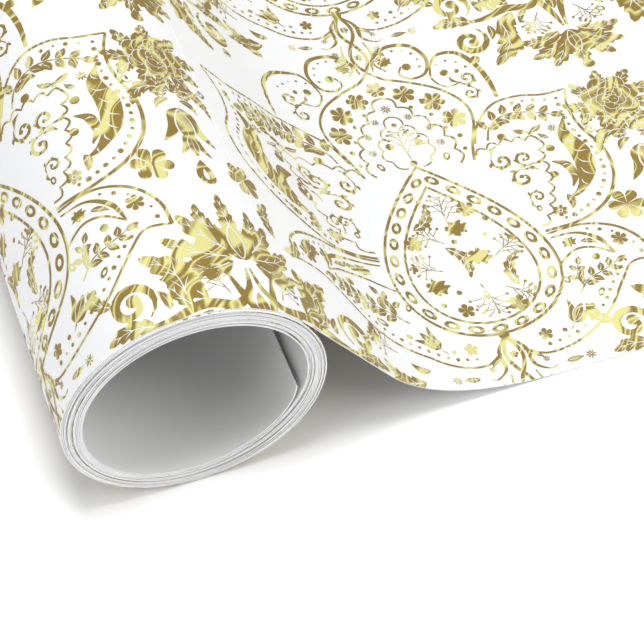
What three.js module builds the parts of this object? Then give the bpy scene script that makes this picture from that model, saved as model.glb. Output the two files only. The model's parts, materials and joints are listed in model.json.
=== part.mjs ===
// A coreless roll of printed gift-wrap paper with its outer end drawn off over the top and laid flat.
// The whole object is one strip of paper. Its cross-section is drawn once, in the plane square to the
// roll's axis, as a line that runs from the loose inner end, round the wound turns, down the curved
// lead-off and along the flat run to the cut leading edge. Each named stretch of that line is a ribbon
// of paper thickness, extruded across the full width of the sheet.
// Frame: Y is the roll's axis, X runs from the roll towards the leading edge, Z is up, and the origin
// is the middle of the footprint on the surface that the paper lies on. Units are millimetres.
import * as THREE from "three";

// ---- Driving dimensions (mm and degrees) ----
const SHEET_WIDTH = 737; // across the sheet, along the roll's axis
const PAPER = 0.14; // paper thickness
const COIL_RADIUS = 25; // outer surface of the coil, where the paper leaves it
const TURN_PITCH = 0.34; // from one turn to the next: the paper and the slack between turns
const FULL_TURNS = 12; // whole turns, before the part turn that carries the inner end
const LEAVE_ANGLE = 54; // where the paper leaves the coil, clockwise from the top
const INNER_END_ANGLE = 132; // where the wound paper stops touching the bore, clockwise from the top
const TAIL_ANGLE = 30; // how far round the loose inner end reaches
const TAIL_LIFT = 1.4; // how far the loose inner end's edge stands off the bore
const LEAD_CLEARANCE = 0.1; // slack between the coil and the lead-off that starts on it
const BEND_LENGTH = 46; // the relaxing bend at the foot of the lead-off
const BEND_EXPONENT = 1.6; // how early that bend is spent: 1 is an even bend, more is sharper at its top
const FLAT_RUN = 92; // flat paper from the foot of the lead-off to the first lifting line
const EDGE_PANEL = 30; // each stretch of the lifting edge
const EDGE_PANELS = 3; // stretches in the lifting edge
const GAP = 0.3; // between the cut faces of neighbouring stretches

// ---- How finely curves are drawn ----
const ARC_STEP = 6; // degrees of a turn in one facet
const TAIL_STEPS = 8;
const BEND_STEPS = 24;

const radians = THREE.MathUtils.degToRad;
const turnGap = THREE.MathUtils.radToDeg(GAP / COIL_RADIUS); // the gap as an angle of a turn

// ---- The line of the paper ----
// An angle here is the paper's own, in degrees clockwise from the top of the coil: it falls by 360 for
// each turn inwards, so one number says both the direction from the axis and which turn it is on.
const coilMiddle = (angle) =>
  COIL_RADIUS - PAPER / 2 - (TURN_PITCH * (LEAVE_ANGLE - angle)) / 360;

// The coil stands on the lowest point of its outermost turn.
const axisHeight = coilMiddle(-180) + PAPER / 2;

// A point of the paper's middle line, with the unit normal that points to its printed side.
function polarPoint(angle, radius) {
  const nx = Math.sin(radians(angle));
  const nz = Math.cos(radians(angle));
  return { x: radius * nx, z: axisHeight + radius * nz, nx, nz };
}

const coilPoint = (angle) => polarPoint(angle, coilMiddle(angle));

// Middle line of wound paper from one angle inwards to a smaller one, with facets on the same
// directions in every turn so that neighbouring turns stay parallel.
function woundLine(outerAngle, innerAngle) {
  const angles = [outerAngle];
  const first = Math.ceil(outerAngle / ARC_STEP) - 1;
  for (let step = first; step * ARC_STEP > innerAngle; step -= 1)
    angles.push(step * ARC_STEP);
  angles.push(innerAngle);
  return angles.map(coilPoint);
}

// ---- Lead-off: straight down from the coil, then a bend that relaxes onto the table ----
const bendSlope = (u) => LEAVE_ANGLE * (1 - u) ** BEND_EXPONENT; // degrees below level, u from 0 to 1
const bendSlopes = Array.from({ length: BEND_STEPS }, (_, i) =>
  bendSlope((i + 0.5) / BEND_STEPS),
);
const bendStep = BEND_LENGTH / BEND_STEPS;
const bendDrop = bendSlopes.reduce(
  (sum, slope) => sum + bendStep * Math.sin(radians(slope)),
  0,
);
const leadRadius = COIL_RADIUS + LEAD_CLEARANCE + PAPER / 2;
const leadStart = polarPoint(LEAVE_ANGLE, leadRadius);
const straightLength =
  (leadStart.z - PAPER / 2 - bendDrop) / Math.sin(radians(LEAVE_ANGLE));

function leadOffLine() {
  const normalAt = (slope) => ({
    nx: Math.sin(radians(slope)),
    nz: Math.cos(radians(slope)),
  });
  const line = [leadStart];
  let x = leadStart.x + straightLength * Math.cos(radians(LEAVE_ANGLE));
  let z = leadStart.z - straightLength * Math.sin(radians(LEAVE_ANGLE));
  line.push({ x, z, ...normalAt(LEAVE_ANGLE) });
  bendSlopes.forEach((slope, i) => {
    x += bendStep * Math.cos(radians(slope));
    z -= bendStep * Math.sin(radians(slope));
    line.push({ x, z, ...normalAt(bendSlope((i + 1) / BEND_STEPS)) });
  });
  return line;
}

// ---- Loose inner end: carries on round the bore while it lifts off the wall ----
function tailLine() {
  const rootAngle = INNER_END_ANGLE - 360 * (FULL_TURNS + 1) - turnGap;
  const sweep = TAIL_ANGLE - turnGap;
  const line = [];
  for (let i = 0; i <= TAIL_STEPS; i += 1) {
    const u = i / TAIL_STEPS;
    const angle = rootAngle - sweep * u;
    line.push(polarPoint(angle, coilMiddle(rootAngle) - TAIL_LIFT * u * u));
  }
  return line;
}

// ---- Solids ----
// A closed ribbon of paper thickness along a middle line, extruded across the sheet.
function ribbon(line) {
  const side = (reach) =>
    line.map((p) => new THREE.Vector2(p.x + reach * p.nx, p.z + reach * p.nz));
  const outline = [...side(PAPER / 2), ...side(-PAPER / 2).reverse()];
  const geometry = new THREE.ExtrudeGeometry(new THREE.Shape(outline), {
    depth: SHEET_WIDTH,
    bevelEnabled: false,
  });
  // The section is drawn in X and Y and pushed along Z: stand it up, and centre it on the width.
  return geometry.rotateX(Math.PI / 2).translate(0, SHEET_WIDTH / 2, 0);
}

// A flat stretch of the sheet lying on the table between two lines across it.
function flatPanel(fromX, toX) {
  const geometry = new THREE.BoxGeometry(toX - fromX, SHEET_WIDTH, PAPER);
  return geometry.translate((fromX + toX) / 2, 0, PAPER / 2);
}

const printed = new THREE.MeshStandardMaterial({
  color: 0xf7f5ee,
  roughness: 0.45,
  metalness: 0,
});
const woundEdge = new THREE.MeshStandardMaterial({
  color: 0xdedfdf,
  roughness: 0.7,
  metalness: 0,
});

const paper = new THREE.Group();

function addStretch(name, geometry, material) {
  const mesh = new THREE.Mesh(geometry, material);
  mesh.name = name;
  paper.add(mesh);
}

// ---- The wound turns, outermost first, each starting where the last one stopped ----
const lastAngle = INNER_END_ANGLE - 360 * (FULL_TURNS + 1);
for (let turn = 0; turn <= FULL_TURNS; turn += 1) {
  const outerAngle = LEAVE_ANGLE - 360 * turn - turnGap / 2;
  const innerAngle = Math.max(outerAngle - 360 + turnGap, lastAngle);
  addStretch(
    `turn_${String(turn + 1).padStart(2, "0")}`,
    ribbon(woundLine(outerAngle, innerAngle)),
    turn === 0 ? printed : woundEdge,
  );
}
addStretch("inner_tail", ribbon(tailLine()), woundEdge);

// ---- The paper drawn off the roll ----
const leadOff = leadOffLine();
addStretch("lead_off_curve", ribbon(leadOff), printed);
const footX = leadOff[leadOff.length - 1].x;
const liftX = footX + FLAT_RUN;
addStretch("flat_run", flatPanel(footX + GAP, liftX - GAP / 2), printed);
for (let i = 0; i < EDGE_PANELS; i += 1) {
  const isLast = i === EDGE_PANELS - 1;
  const fromX = liftX + i * EDGE_PANEL + GAP / 2;
  const toX = liftX + (i + 1) * EDGE_PANEL - (isLast ? 0 : GAP / 2);
  addStretch(
    isLast ? "leading_edge" : `edge_panel_${i + 1}`,
    flatPanel(fromX, toX),
    printed,
  );
}

// ---- Put the origin in the middle of the footprint ----
const leftX = -(coilMiddle(-90) + PAPER / 2);
const rightX = liftX + EDGE_PANELS * EDGE_PANEL;
paper.position.x = -(leftX + rightX) / 2;

export default paper;
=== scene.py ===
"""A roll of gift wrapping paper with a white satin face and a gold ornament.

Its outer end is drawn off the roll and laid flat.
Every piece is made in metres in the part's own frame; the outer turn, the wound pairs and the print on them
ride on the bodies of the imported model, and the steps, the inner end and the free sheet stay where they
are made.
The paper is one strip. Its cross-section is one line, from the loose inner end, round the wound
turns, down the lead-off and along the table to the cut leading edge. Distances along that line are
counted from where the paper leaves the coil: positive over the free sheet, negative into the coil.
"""
import json
import math

import bpy
import numpy as np
from bpy.props import FloatProperty, FloatVectorProperty, IntProperty, PointerProperty
from mathutils import Matrix, Vector
from mathutils.geometry import delaunay_2d_cdt


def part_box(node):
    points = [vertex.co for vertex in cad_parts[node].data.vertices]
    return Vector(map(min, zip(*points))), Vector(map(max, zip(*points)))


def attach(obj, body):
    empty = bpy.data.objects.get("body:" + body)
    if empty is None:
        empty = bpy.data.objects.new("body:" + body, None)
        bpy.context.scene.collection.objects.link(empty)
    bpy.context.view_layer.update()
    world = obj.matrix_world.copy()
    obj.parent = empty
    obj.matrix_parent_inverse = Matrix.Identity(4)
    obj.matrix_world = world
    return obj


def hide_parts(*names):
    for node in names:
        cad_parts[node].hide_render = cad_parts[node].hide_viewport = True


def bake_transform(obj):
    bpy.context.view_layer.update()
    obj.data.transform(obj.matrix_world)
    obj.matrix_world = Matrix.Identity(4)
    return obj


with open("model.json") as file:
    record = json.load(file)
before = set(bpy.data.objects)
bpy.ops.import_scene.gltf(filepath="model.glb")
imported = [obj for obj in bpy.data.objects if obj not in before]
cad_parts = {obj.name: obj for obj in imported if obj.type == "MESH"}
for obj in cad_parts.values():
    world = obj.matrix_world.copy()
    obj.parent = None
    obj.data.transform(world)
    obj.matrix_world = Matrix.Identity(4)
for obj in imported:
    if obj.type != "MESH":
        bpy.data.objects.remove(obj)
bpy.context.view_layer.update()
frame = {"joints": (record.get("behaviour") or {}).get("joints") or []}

bl_info = {
    "name": "Wrapping Paper Roll",
    "version": (1, 0, 0),
    "blender": (4, 5, 0),
    "location": "View3D > Sidebar > Wrapping Paper",
    "description": "Builds a part-unrolled roll of printed gift wrapping paper on its packed frame",
    "category": "Object",
}

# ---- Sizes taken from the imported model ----
MM = 0.001
JOINTS = {joint["name"]: joint for joint in frame["joints"]}
AXIS = Vector(JOINTS["coil_spin"]["pos_m"])
OUTER_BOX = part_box("turn_01")
SHEET_WIDTH = OUTER_BOX[1][1] - OUTER_BOX[0][1]
TURN_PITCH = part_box("turn_02")[0][0] - OUTER_BOX[0][0]
LEAVE_ANGLE = 54.0  # where the paper leaves the coil, degrees clockwise from the top
INNER_END_ANGLE = 132.0  # where the wound paper stops touching the bore
TAIL_ANGLE = 30.0  # how far round the loose inner end reaches
TAIL_LIFT = 1.4 * MM  # how far its edge stands off the bore
TURNS = 13  # counting the part turn that carries the inner end
BEND_LENGTH = 46 * MM  # the relaxing bend at the foot of the lead-off
BEND_EXPONENT = 1.6
CAD_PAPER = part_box("flat_run")[1][2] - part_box("flat_run")[0][2]
COIL_RADIUS = OUTER_BOX[1][2] - AXIS.z + TURN_PITCH * LEAVE_ANGLE / 360
CUT_EDGE_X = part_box("leading_edge")[1][0]
LIFT_LINES = [JOINTS[name]["pos_m"][0] for name in ("edge_lift", "edge_bend_2", "edge_bend_3")]


# ---- The line of the paper ----
SHEET = 0.17 * MM  # free paper, as it is drawn
WOUND = 0.27 * MM  # wound paper, as it is drawn: the paper and the air it holds
LINE_STEP = 0.5 * MM
OVAL = 0.62 * MM  # how far the innermost turn is out of round
OVAL_ANGLE = 62
SLACK = 0.3 * MM  # the gap that has opened low on the leading side
SLACK_ANGLE = 136
SLACK_SPREAD = 30
SLACK_TURN = 5.6


def smoothstep(x):
    """Rises gently from 0 to 1 and levels out at both ends."""
    x = np.clip(x, 0.0, 1.0)
    return x * x * (3 - 2 * x)


def coil_radius(angle):
    """Radius of the paper's middle at an angle that falls by 360 for each turn inwards."""
    turn = (LEAVE_ANGLE - angle) / 360
    radius = COIL_RADIUS - CAD_PAPER / 2 - TURN_PITCH * turn
    # Inner turns lie slightly oval, and slack has opened a gap low on the leading side.
    oval = OVAL * (np.clip(turn, 0, TURNS) / TURNS) ** 1.3 * np.cos(np.radians(2 * (angle - OVAL_ANGLE)))
    around = (angle - SLACK_ANGLE + 180) % 360 - 180
    slack = SLACK * smoothstep((turn - SLACK_TURN) / 0.5) * np.exp(-((around / SLACK_SPREAD) ** 2))
    tail = np.clip((INNER_END_ANGLE - 360 * TURNS - angle) / TAIL_ANGLE, 0, 1.2)
    return radius + oval - slack - TAIL_LIFT * 0.75 * tail**2


def paper_line():
    """The paper's middle from the inner end to the cut edge: points, distances along, and coil angles."""
    step = LINE_STEP
    inner = INNER_END_ANGLE - TAIL_ANGLE - 360 * TURNS
    angles = np.arange(inner, LEAVE_ANGLE, math.degrees(step / COIL_RADIUS))
    angles = np.append(angles[angles < LEAVE_ANGLE - 0.4], LEAVE_ANGLE)
    radius = coil_radius(angles)
    turn = (LEAVE_ANGLE - angles) / 360
    # The turns are a little out of line with one another at the mouth.
    drift = 0.16 * np.sin(4.1 * turn) + 0.12 * np.sin(9.7 * turn + 1.0)
    x = AXIS.x + radius * np.sin(np.radians(angles))
    z = AXIS.z + radius * np.cos(np.radians(angles))
    y = drift * MM * np.clip(turn, 0, 1)
    steps = int(BEND_LENGTH / step)
    slopes = np.radians(LEAVE_ANGLE * (1 - (np.arange(steps) + 0.5) / steps) ** BEND_EXPONENT)
    run = np.cumsum(np.cos(slopes)) * BEND_LENGTH / steps
    fall = np.cumsum(np.sin(slopes)) * BEND_LENGTH / steps
    down = math.radians(LEAVE_ANGLE)
    straight = (z[-1] - SHEET / 2 - fall[-1]) / math.sin(down)
    ahead = np.arange(step, straight, step)
    foot = (x[-1] + straight * math.cos(down), z[-1] - straight * math.sin(down))
    flat = np.append(np.arange(foot[0] + run[-1] + step, CUT_EDGE_X - step / 2, step), CUT_EDGE_X)
    free_x = np.concatenate([x[-1] + ahead * math.cos(down), foot[0] + np.append(0, run), flat])
    free_z = np.concatenate(
        [z[-1] - ahead * math.sin(down), foot[1] - np.append(0, fall), 0 * flat + SHEET / 2]
    )
    points = np.stack([np.append(x, free_x), np.append(y, 0 * free_x), np.append(z, free_z)], 1)
    along = np.append(0, np.cumsum(np.linalg.norm(np.diff(points, axis=0), axis=1)))
    return points, along - along[len(x) - 1], np.append(angles, 0 * free_x + LEAVE_ANGLE)


LINE, ALONG, ANGLES = paper_line()
LINE_LEAD = -ALONG[0]


def along_angle(angle):
    """Distance along the line at an angle on the coil."""
    return float(np.interp(angle, ANGLES[ALONG <= 0], ALONG[ALONG <= 0]))


def along_x(x):
    """Distance along the line at a place on the free sheet."""
    free = ALONG >= 0
    return float(np.interp(x, LINE[free, 0], ALONG[free]))


def line_object():
    """The paper's line as a curve that the node trees follow."""
    old = bpy.data.objects.get("paper_line")
    if old:
        return old
    curve = bpy.data.curves.new("paper_line", "CURVE")
    curve.dimensions = "3D"
    spline = curve.splines.new("POLY")
    spline.points.add(len(LINE) - 1)
    spline.points.foreach_set("co", np.column_stack([LINE, np.ones(len(LINE))]).ravel())
    guide = bpy.data.objects.new("paper_line", curve)
    bpy.context.scene.collection.objects.link(guide)
    guide.hide_render = True
    return guide


# ---- Building node trees ----
class Graph:
    """A node tree that is added to one node at a time, with its settings and its inputs together."""

    def __init__(self, tree):
        self.tree = tree

    def add(self, kind, inputs=None, **settings):
        node = self.tree.nodes.new(kind)
        for name, value in settings.items():
            setattr(node, name, value)
        for key, value in (inputs or {}).items():
            if isinstance(value, bpy.types.NodeSocket):
                self.tree.links.new(value, node.inputs[key])
            else:
                node.inputs[key].default_value = value
        return node

    def math(self, operation, *values):
        kind = "ShaderNodeMath"
        return self.add(kind, dict(enumerate(values)), operation=operation).outputs[0]

    def vector(self, operation, *values, scale=None):
        inputs = dict(enumerate(values))
        if scale is not None:
            inputs["Scale"] = scale
        return self.add("ShaderNodeVectorMath", inputs, operation=operation).outputs[0]

    def ramp(self, factor, stops, interpolation="LINEAR"):
        node = self.add("ShaderNodeValToRGB", {"Fac": factor})
        ramp = node.color_ramp
        ramp.interpolation = interpolation
        while len(ramp.elements) < len(stops):
            ramp.elements.new(0.5)
        for element, (place, color) in zip(ramp.elements, stops):
            element.position = place
            element.color = (*color, 1.0)
        return node.outputs[0]


class GeometryGraph(Graph):
    """A geometry node tree with named inputs."""

    def __init__(self, name, inputs, outputs=(("Geometry", "NodeSocketGeometry"),)):
        super().__init__(bpy.data.node_groups.new(name, "GeometryNodeTree"))
        self.tree.is_modifier = True
        self.identifiers = {}
        for label, kind, default in inputs:
            socket = self.tree.interface.new_socket(name=label, in_out="INPUT", socket_type=kind)
            if default is not None:
                socket.default_value = default
            self.identifiers[label] = socket.identifier
        for label, kind in outputs:
            self.tree.interface.new_socket(name=label, in_out="OUTPUT", socket_type=kind)
        self.inputs = self.add("NodeGroupInput").outputs

    def finish(self, *values):
        """Joins the results to the tree's outputs."""
        output = self.add("NodeGroupOutput")
        for socket, value in zip(output.inputs, values):
            self.tree.links.new(value, socket)
        return self


def on_line_tree():
    """Shared step: carries flat coordinates, which are along, across and height, on to the paper's line."""
    g = GeometryGraph(
        "Carry on to the Paper Line",
        [
            ("Paper Line", "NodeSocketObject", None),
            ("Lead", "NodeSocketFloat", LINE_LEAD),
            ("Flat", "NodeSocketVector", None),
            ("Ripple", "NodeSocketFloat", 0.0),
            ("Seed", "NodeSocketFloat", 3.0),
        ],
        (("Position", "NodeSocketVector"),),
    )
    flat = g.add("ShaderNodeSeparateXYZ", {0: g.inputs["Flat"]}).outputs
    line = g.add("GeometryNodeObjectInfo", {"Object": g.inputs["Paper Line"]}, transform_space="ORIGINAL")
    length = g.math("ADD", flat[0], g.inputs["Lead"])
    sample = g.add(
        "GeometryNodeSampleCurve",
        {"Curves": line.outputs["Geometry"], "Length": length},
        mode="LENGTH",
        use_all_curves=True,
    )
    side = g.vector("NORMALIZE", g.vector("CROSS_PRODUCT", sample.outputs["Tangent"], (0.0, 1.0, 0.0)))
    ground = g.add(
        "ShaderNodeCombineXYZ",
        {0: g.math("MULTIPLY", flat[0], 16.0), 1: g.math("MULTIPLY", flat[1], 7.0), 2: g.inputs["Seed"]},
    )
    noise = g.add(
        "ShaderNodeTexNoise",
        {"Vector": ground.outputs[0], "Scale": 1.0, "Detail": 1.0},
        noise_dimensions="3D",
    )
    swell = g.math("MULTIPLY", noise.outputs[0], g.inputs["Ripple"])
    lift = g.vector("SCALE", side, scale=g.math("ADD", flat[2], swell))
    across = g.add("ShaderNodeCombineXYZ", {1: flat[1]}).outputs[0]
    place = g.vector("ADD", g.vector("ADD", sample.outputs["Position"], across), lift)
    return g.finish(place)


def carry(g, flat, shared):
    """Adds the shared step to a tree and returns the carried position."""
    node = g.add("GeometryNodeGroup", node_tree=shared.tree)
    g.tree.links.new(g.inputs["Paper Line"], node.inputs["Paper Line"])
    g.tree.links.new(g.inputs["Ripple"], node.inputs["Ripple"])
    g.tree.links.new(flat, node.inputs["Flat"])
    return node.outputs[0]


SHEET_STEP = 1.1 * MM  # between two lines at which a sheet bends
CRISP_ANGLE = 0.6  # edges sharper than this are shaded as edges, in radians


def sheet_tree(shared):
    """A stretch of paper: a flat slab with a face, a back and cut edges, carried on to the line."""
    g = GeometryGraph(
        "Paper Along its Line",
        [
            ("Geometry", "NodeSocketGeometry", None),
            ("Paper Line", "NodeSocketObject", None),
            ("From", "NodeSocketFloat", 0.0),
            ("To", "NodeSocketFloat", 0.1),
            ("Width", "NodeSocketFloat", SHEET_WIDTH),
            ("Thickness", "NodeSocketFloat", SHEET),
            ("Sink", "NodeSocketFloat", 0.0),
            ("Step", "NodeSocketFloat", SHEET_STEP),
            ("Bands", "NodeSocketInt", 24),
            ("Ripple", "NodeSocketFloat", 0.0),
            ("Face", "NodeSocketMaterial", None),
            ("Back", "NodeSocketMaterial", None),
            ("Cut Edge", "NodeSocketMaterial", None),
        ],
    )
    i = g.inputs
    long = g.math("SUBTRACT", i["To"], i["From"])
    stations = g.math("ADD", g.math("CEIL", g.math("DIVIDE", long, i["Step"])), 1.0)
    rows = g.math("ADD", i["Bands"], 1.0)
    grid = g.add(
        "GeometryNodeMeshGrid",
        {"Size X": long, "Size Y": i["Width"], "Vertices X": stations, "Vertices Y": rows},
    )
    middle = g.math("MULTIPLY", g.math("ADD", i["From"], i["To"]), 0.5)
    shift = g.add("ShaderNodeCombineXYZ", {0: middle, 2: -0.5}).outputs[0]
    under = g.add("GeometryNodeSetPosition", {"Geometry": grid.outputs["Mesh"], "Offset": shift})
    slab = g.add(
        "GeometryNodeExtrudeMesh",
        {"Mesh": under.outputs[0], "Offset": (0.0, 0.0, 1.0), "Offset Scale": 1.0, "Individual": False},
    )
    kind = {"data_type": "INT", "domain": "FACE"}
    edges = g.add(
        "GeometryNodeStoreNamedAttribute",
        {
            "Geometry": slab.outputs["Mesh"],
            "Selection": slab.outputs["Side"],
            "Name": "layer",
            "Value": 1,
        },
        **kind,
    )
    face = g.add(
        "GeometryNodeStoreNamedAttribute",
        {"Geometry": edges.outputs[0], "Selection": slab.outputs["Top"], "Name": "layer", "Value": 2},
        **kind,
    )
    back = g.add("GeometryNodeFlipFaces", {"Mesh": under.outputs[0]})
    both = g.add("GeometryNodeJoinGeometry")
    g.tree.links.new(face.outputs[0], both.inputs[0])
    g.tree.links.new(back.outputs[0], both.inputs[0])
    closed = g.add("GeometryNodeMergeByDistance", {"Geometry": both.outputs[0], "Distance": 1e-6})
    place = g.add("GeometryNodeInputPosition").outputs[0]
    known = g.add(
        "GeometryNodeStoreNamedAttribute",
        {"Geometry": closed.outputs[0], "Name": "flat", "Value": place},
        data_type="FLOAT_VECTOR",
        domain="POINT",
    )
    flat = g.add("ShaderNodeSeparateXYZ", {0: place}).outputs
    height = g.math("SUBTRACT", g.math("MULTIPLY", flat[2], i["Thickness"]), i["Sink"])
    slim = g.add("ShaderNodeCombineXYZ", {0: flat[0], 1: flat[1], 2: height}).outputs[0]
    bent = g.add(
        "GeometryNodeSetPosition", {"Geometry": known.outputs[0], "Position": carry(g, slim, shared)}
    )
    sharp = g.math("GREATER_THAN", g.add("GeometryNodeInputMeshEdgeAngle").outputs[0], CRISP_ANGLE)
    crisp = g.add(
        "GeometryNodeSetShadeSmooth",
        {"Geometry": bent.outputs[0], "Selection": sharp, "Shade Smooth": False},
        domain="EDGE",
    )
    whole = g.add("GeometryNodeRealizeInstances", {"Geometry": crisp.outputs[0]})
    result = whole.outputs[0]
    layer = g.add("GeometryNodeInputNamedAttribute", {"Name": "layer"}, data_type="INT").outputs[0]
    for value, name in enumerate(("Back", "Cut Edge", "Face")):
        chosen = g.add(
            "FunctionNodeCompare", {2: layer, 3: value}, data_type="INT", operation="EQUAL"
        ).outputs[0]
        result = g.add(
            "GeometryNodeSetMaterial", {"Geometry": result, "Selection": chosen, "Material": i[name]}
        ).outputs[0]
    return g.finish(result)


def print_tree(shared):
    """The gold of one stretch of paper: repeats side by side, cut to size and carried on to the line."""
    g = GeometryGraph(
        "Print Along the Paper",
        [
            ("Geometry", "NodeSocketGeometry", None),
            ("Paper Line", "NodeSocketObject", None),
            ("Repeat", "NodeSocketObject", None),
            ("Repeats Along", "NodeSocketInt", 2),
            ("Repeats Across", "NodeSocketInt", 9),
            ("Repeat Length", "NodeSocketFloat", 0.121),
            ("Repeat Width", "NodeSocketFloat", 0.096),
            ("First Along", "NodeSocketFloat", 0.0),
            ("First Across", "NodeSocketFloat", 0.0),
            ("From", "NodeSocketFloat", 0.0),
            ("To", "NodeSocketFloat", 0.1),
            ("Across From", "NodeSocketFloat", -1.0),
            ("Across To", "NodeSocketFloat", 1.0),
            ("Bare From", "NodeSocketFloat", 0.0),
            ("Bare To", "NodeSocketFloat", 0.0),
            ("Lift", "NodeSocketFloat", 0.00005),
            ("Ripple", "NodeSocketFloat", 0.0),
            ("Gold", "NodeSocketMaterial", None),
        ],
    )
    i = g.inputs
    spans = [
        g.math("MULTIPLY", g.math("SUBTRACT", i[n], 1.0), i[size])
        for n, size in (("Repeats Along", "Repeat Length"), ("Repeats Across", "Repeat Width"))
    ]
    grid = g.add(
        "GeometryNodeMeshGrid",
        {
            "Size X": spans[0],
            "Size Y": spans[1],
            "Vertices X": i["Repeats Along"],
            "Vertices Y": i["Repeats Across"],
        },
    )
    centre = [
        g.math("MULTIPLY_ADD", span, 0.5, i[first])
        for span, first in zip(spans, ("First Along", "First Across"))
    ]
    shift = g.add("ShaderNodeCombineXYZ", {0: centre[0], 1: centre[1]}).outputs[0]
    places = g.add("GeometryNodeSetPosition", {"Geometry": grid.outputs["Mesh"], "Offset": shift})
    motif = g.add("GeometryNodeObjectInfo", {"Object": i["Repeat"]}, transform_space="ORIGINAL")
    copies = g.add(
        "GeometryNodeInstanceOnPoints",
        {"Points": places.outputs[0], "Instance": motif.outputs["Geometry"]},
    )
    spread = g.add("GeometryNodeRealizeInstances", {"Geometry": copies.outputs[0]})
    place = g.add("GeometryNodeInputPosition").outputs[0]
    flat = g.add("ShaderNodeSeparateXYZ", {0: place}).outputs
    outside = None
    for value, low, high in ((flat[0], "From", "To"), (flat[1], "Across From", "Across To")):
        for test in (g.math("LESS_THAN", value, i[low]), g.math("GREATER_THAN", value, i[high])):
            outside = test if outside is None else g.math("MAXIMUM", outside, test)
    # A middle strip can be left bare, where turns inside the coil never show.
    bare = g.math(
        "MULTIPLY",
        g.math("GREATER_THAN", flat[1], i["Bare From"]),
        g.math("LESS_THAN", flat[1], i["Bare To"]),
    )
    outside = g.math("MAXIMUM", outside, bare)
    kept = g.add(
        "GeometryNodeDeleteGeometry", {"Geometry": spread.outputs[0], "Selection": outside}, domain="FACE"
    )
    known = g.add(
        "GeometryNodeStoreNamedAttribute",
        {"Geometry": kept.outputs[0], "Name": "flat", "Value": place},
        data_type="FLOAT_VECTOR",
        domain="POINT",
    )
    raised = g.add("ShaderNodeCombineXYZ", {0: flat[0], 1: flat[1], 2: i["Lift"]}).outputs[0]
    bent = g.add(
        "GeometryNodeSetPosition", {"Geometry": known.outputs[0], "Position": carry(g, raised, shared)}
    )
    whole = g.add("GeometryNodeRealizeInstances", {"Geometry": bent.outputs[0]})
    result = g.add("GeometryNodeSetMaterial", {"Geometry": whole.outputs[0], "Material": i["Gold"]})
    return g.finish(result.outputs[0])


def made_mesh(name, graph, values):
    """Runs a tree with these inputs and leaves its result as a plain mesh."""
    piece = bpy.data.objects.new(name, bpy.data.meshes.new(name))
    bpy.context.scene.collection.objects.link(piece)
    modifier = piece.modifiers.new("build", "NODES")
    modifier.node_group = graph.tree
    for label, value in values.items():
        modifier[graph.identifiers[label]] = value
    depsgraph = bpy.context.evaluated_depsgraph_get()
    shown = piece.evaluated_get(depsgraph)
    mesh = bpy.data.meshes.new_from_object(shown, preserve_all_data_layers=True, depsgraph=depsgraph)
    piece.modifiers.remove(modifier)
    mesh.polygons.foreach_set("use_smooth", np.ones(len(mesh.polygons), bool))
    piece.data = mesh
    mesh.name = name
    return piece

TILE_LENGTH = 121.0
TILE_WIDTH = 96.0
BOUQUET_LINE = 48.0  # from a column of drops to the bouquets on its right
DROP_SIDE = 18.6  # half the width of a drop's border
# How much wider the left flank is than the right one.
FLANK = (TILE_LENGTH - BOUQUET_LINE - DROP_SIDE) / (BOUQUET_LINE - DROP_SIDE)
BOUQUET_SIDE = 5.0  # half the width of the stems between two bouquets
ARM_REACH = 1.5  # how much further their arms reach into the wide flank


# ---- Outlines, in millimetres on the flat sheet ----
def turned(points, angle):
    """Points turned about (0, 0) by an angle in degrees."""
    a = math.radians(angle)
    spin = np.array([[math.cos(a), math.sin(a)], [-math.sin(a), math.cos(a)]])
    return np.asarray(points, float) @ spin


def placed(points, at, angle=0.0, size=1.0):
    """Points sized, turned and moved to a place."""
    return turned(np.asarray(points, float) * size, angle) + np.asarray(at, float)


def smooth(points, steps=6, closed=False):
    """A smooth line through a few points."""
    p = np.asarray(points, float)
    if closed:
        p = np.vstack([p[-1], p, p[:2]])
    else:
        p = np.vstack([2 * p[0] - p[1], p, 2 * p[-1] - p[-2]])
    line = []
    for a, b, c, d in zip(p[:-3], p[1:-2], p[2:-1], p[3:]):
        for t in np.arange(steps) / steps:
            cubic = (3 * b - a - 3 * c + d) * t**3
            line.append(0.5 * (2 * b + (c - a) * t + (2 * a - 5 * b + 4 * c - d) * t**2 + cubic))
    if not closed:
        line.append(p[-2])
    return np.array(line)


def normals(line, closed=False):
    """Unit normals to the left of a line at each of its points."""
    way = np.roll(line, -1, 0) - np.roll(line, 1, 0) if closed else np.gradient(line, axis=0)
    way = way / np.maximum(np.linalg.norm(way, axis=1, keepdims=True), 1e-9)
    return np.stack([-way[:, 1], way[:, 0]], 1)


def distances(line):
    """How far along a line each of its points lies."""
    return np.append(0, np.cumsum(np.linalg.norm(np.diff(line, axis=0), axis=1)))


def evenly(line, count, closed=False):
    """Points spaced evenly along a line, and the line's direction there in degrees."""
    if closed:
        line = np.vstack([line, line[:1]])
    along = distances(line)
    share = (np.arange(count) + 0.5) / count if closed else np.arange(count) / max(count - 1, 1)
    stops = share * along[-1]

    def at(stop):
        return np.stack([np.interp(stop, along, line[:, i]) for i in (0, 1)], 1)

    way = at(np.minimum(stops + 0.05, along[-1])) - at(np.maximum(stops - 0.05, 0))
    return at(stops), np.degrees(np.arctan2(way[:, 1], way[:, 0]))


def band(line, widths):
    """The outline of a stroke along a line; the widths are spread evenly along it."""
    share = distances(line) / distances(line)[-1]
    half = 0.5 * np.interp(share, np.linspace(0, 1, len(widths)), widths)[:, None]
    n = normals(line)
    return np.vstack([line + n * half, (line - n * half)[::-1]])


def ellipse(rx, ry, points=14):
    """An ellipse about (0, 0), anticlockwise."""
    t = np.linspace(0, 2 * math.pi, points, endpoint=False)
    return np.stack([rx * np.cos(t), ry * np.sin(t)], 1)


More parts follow.
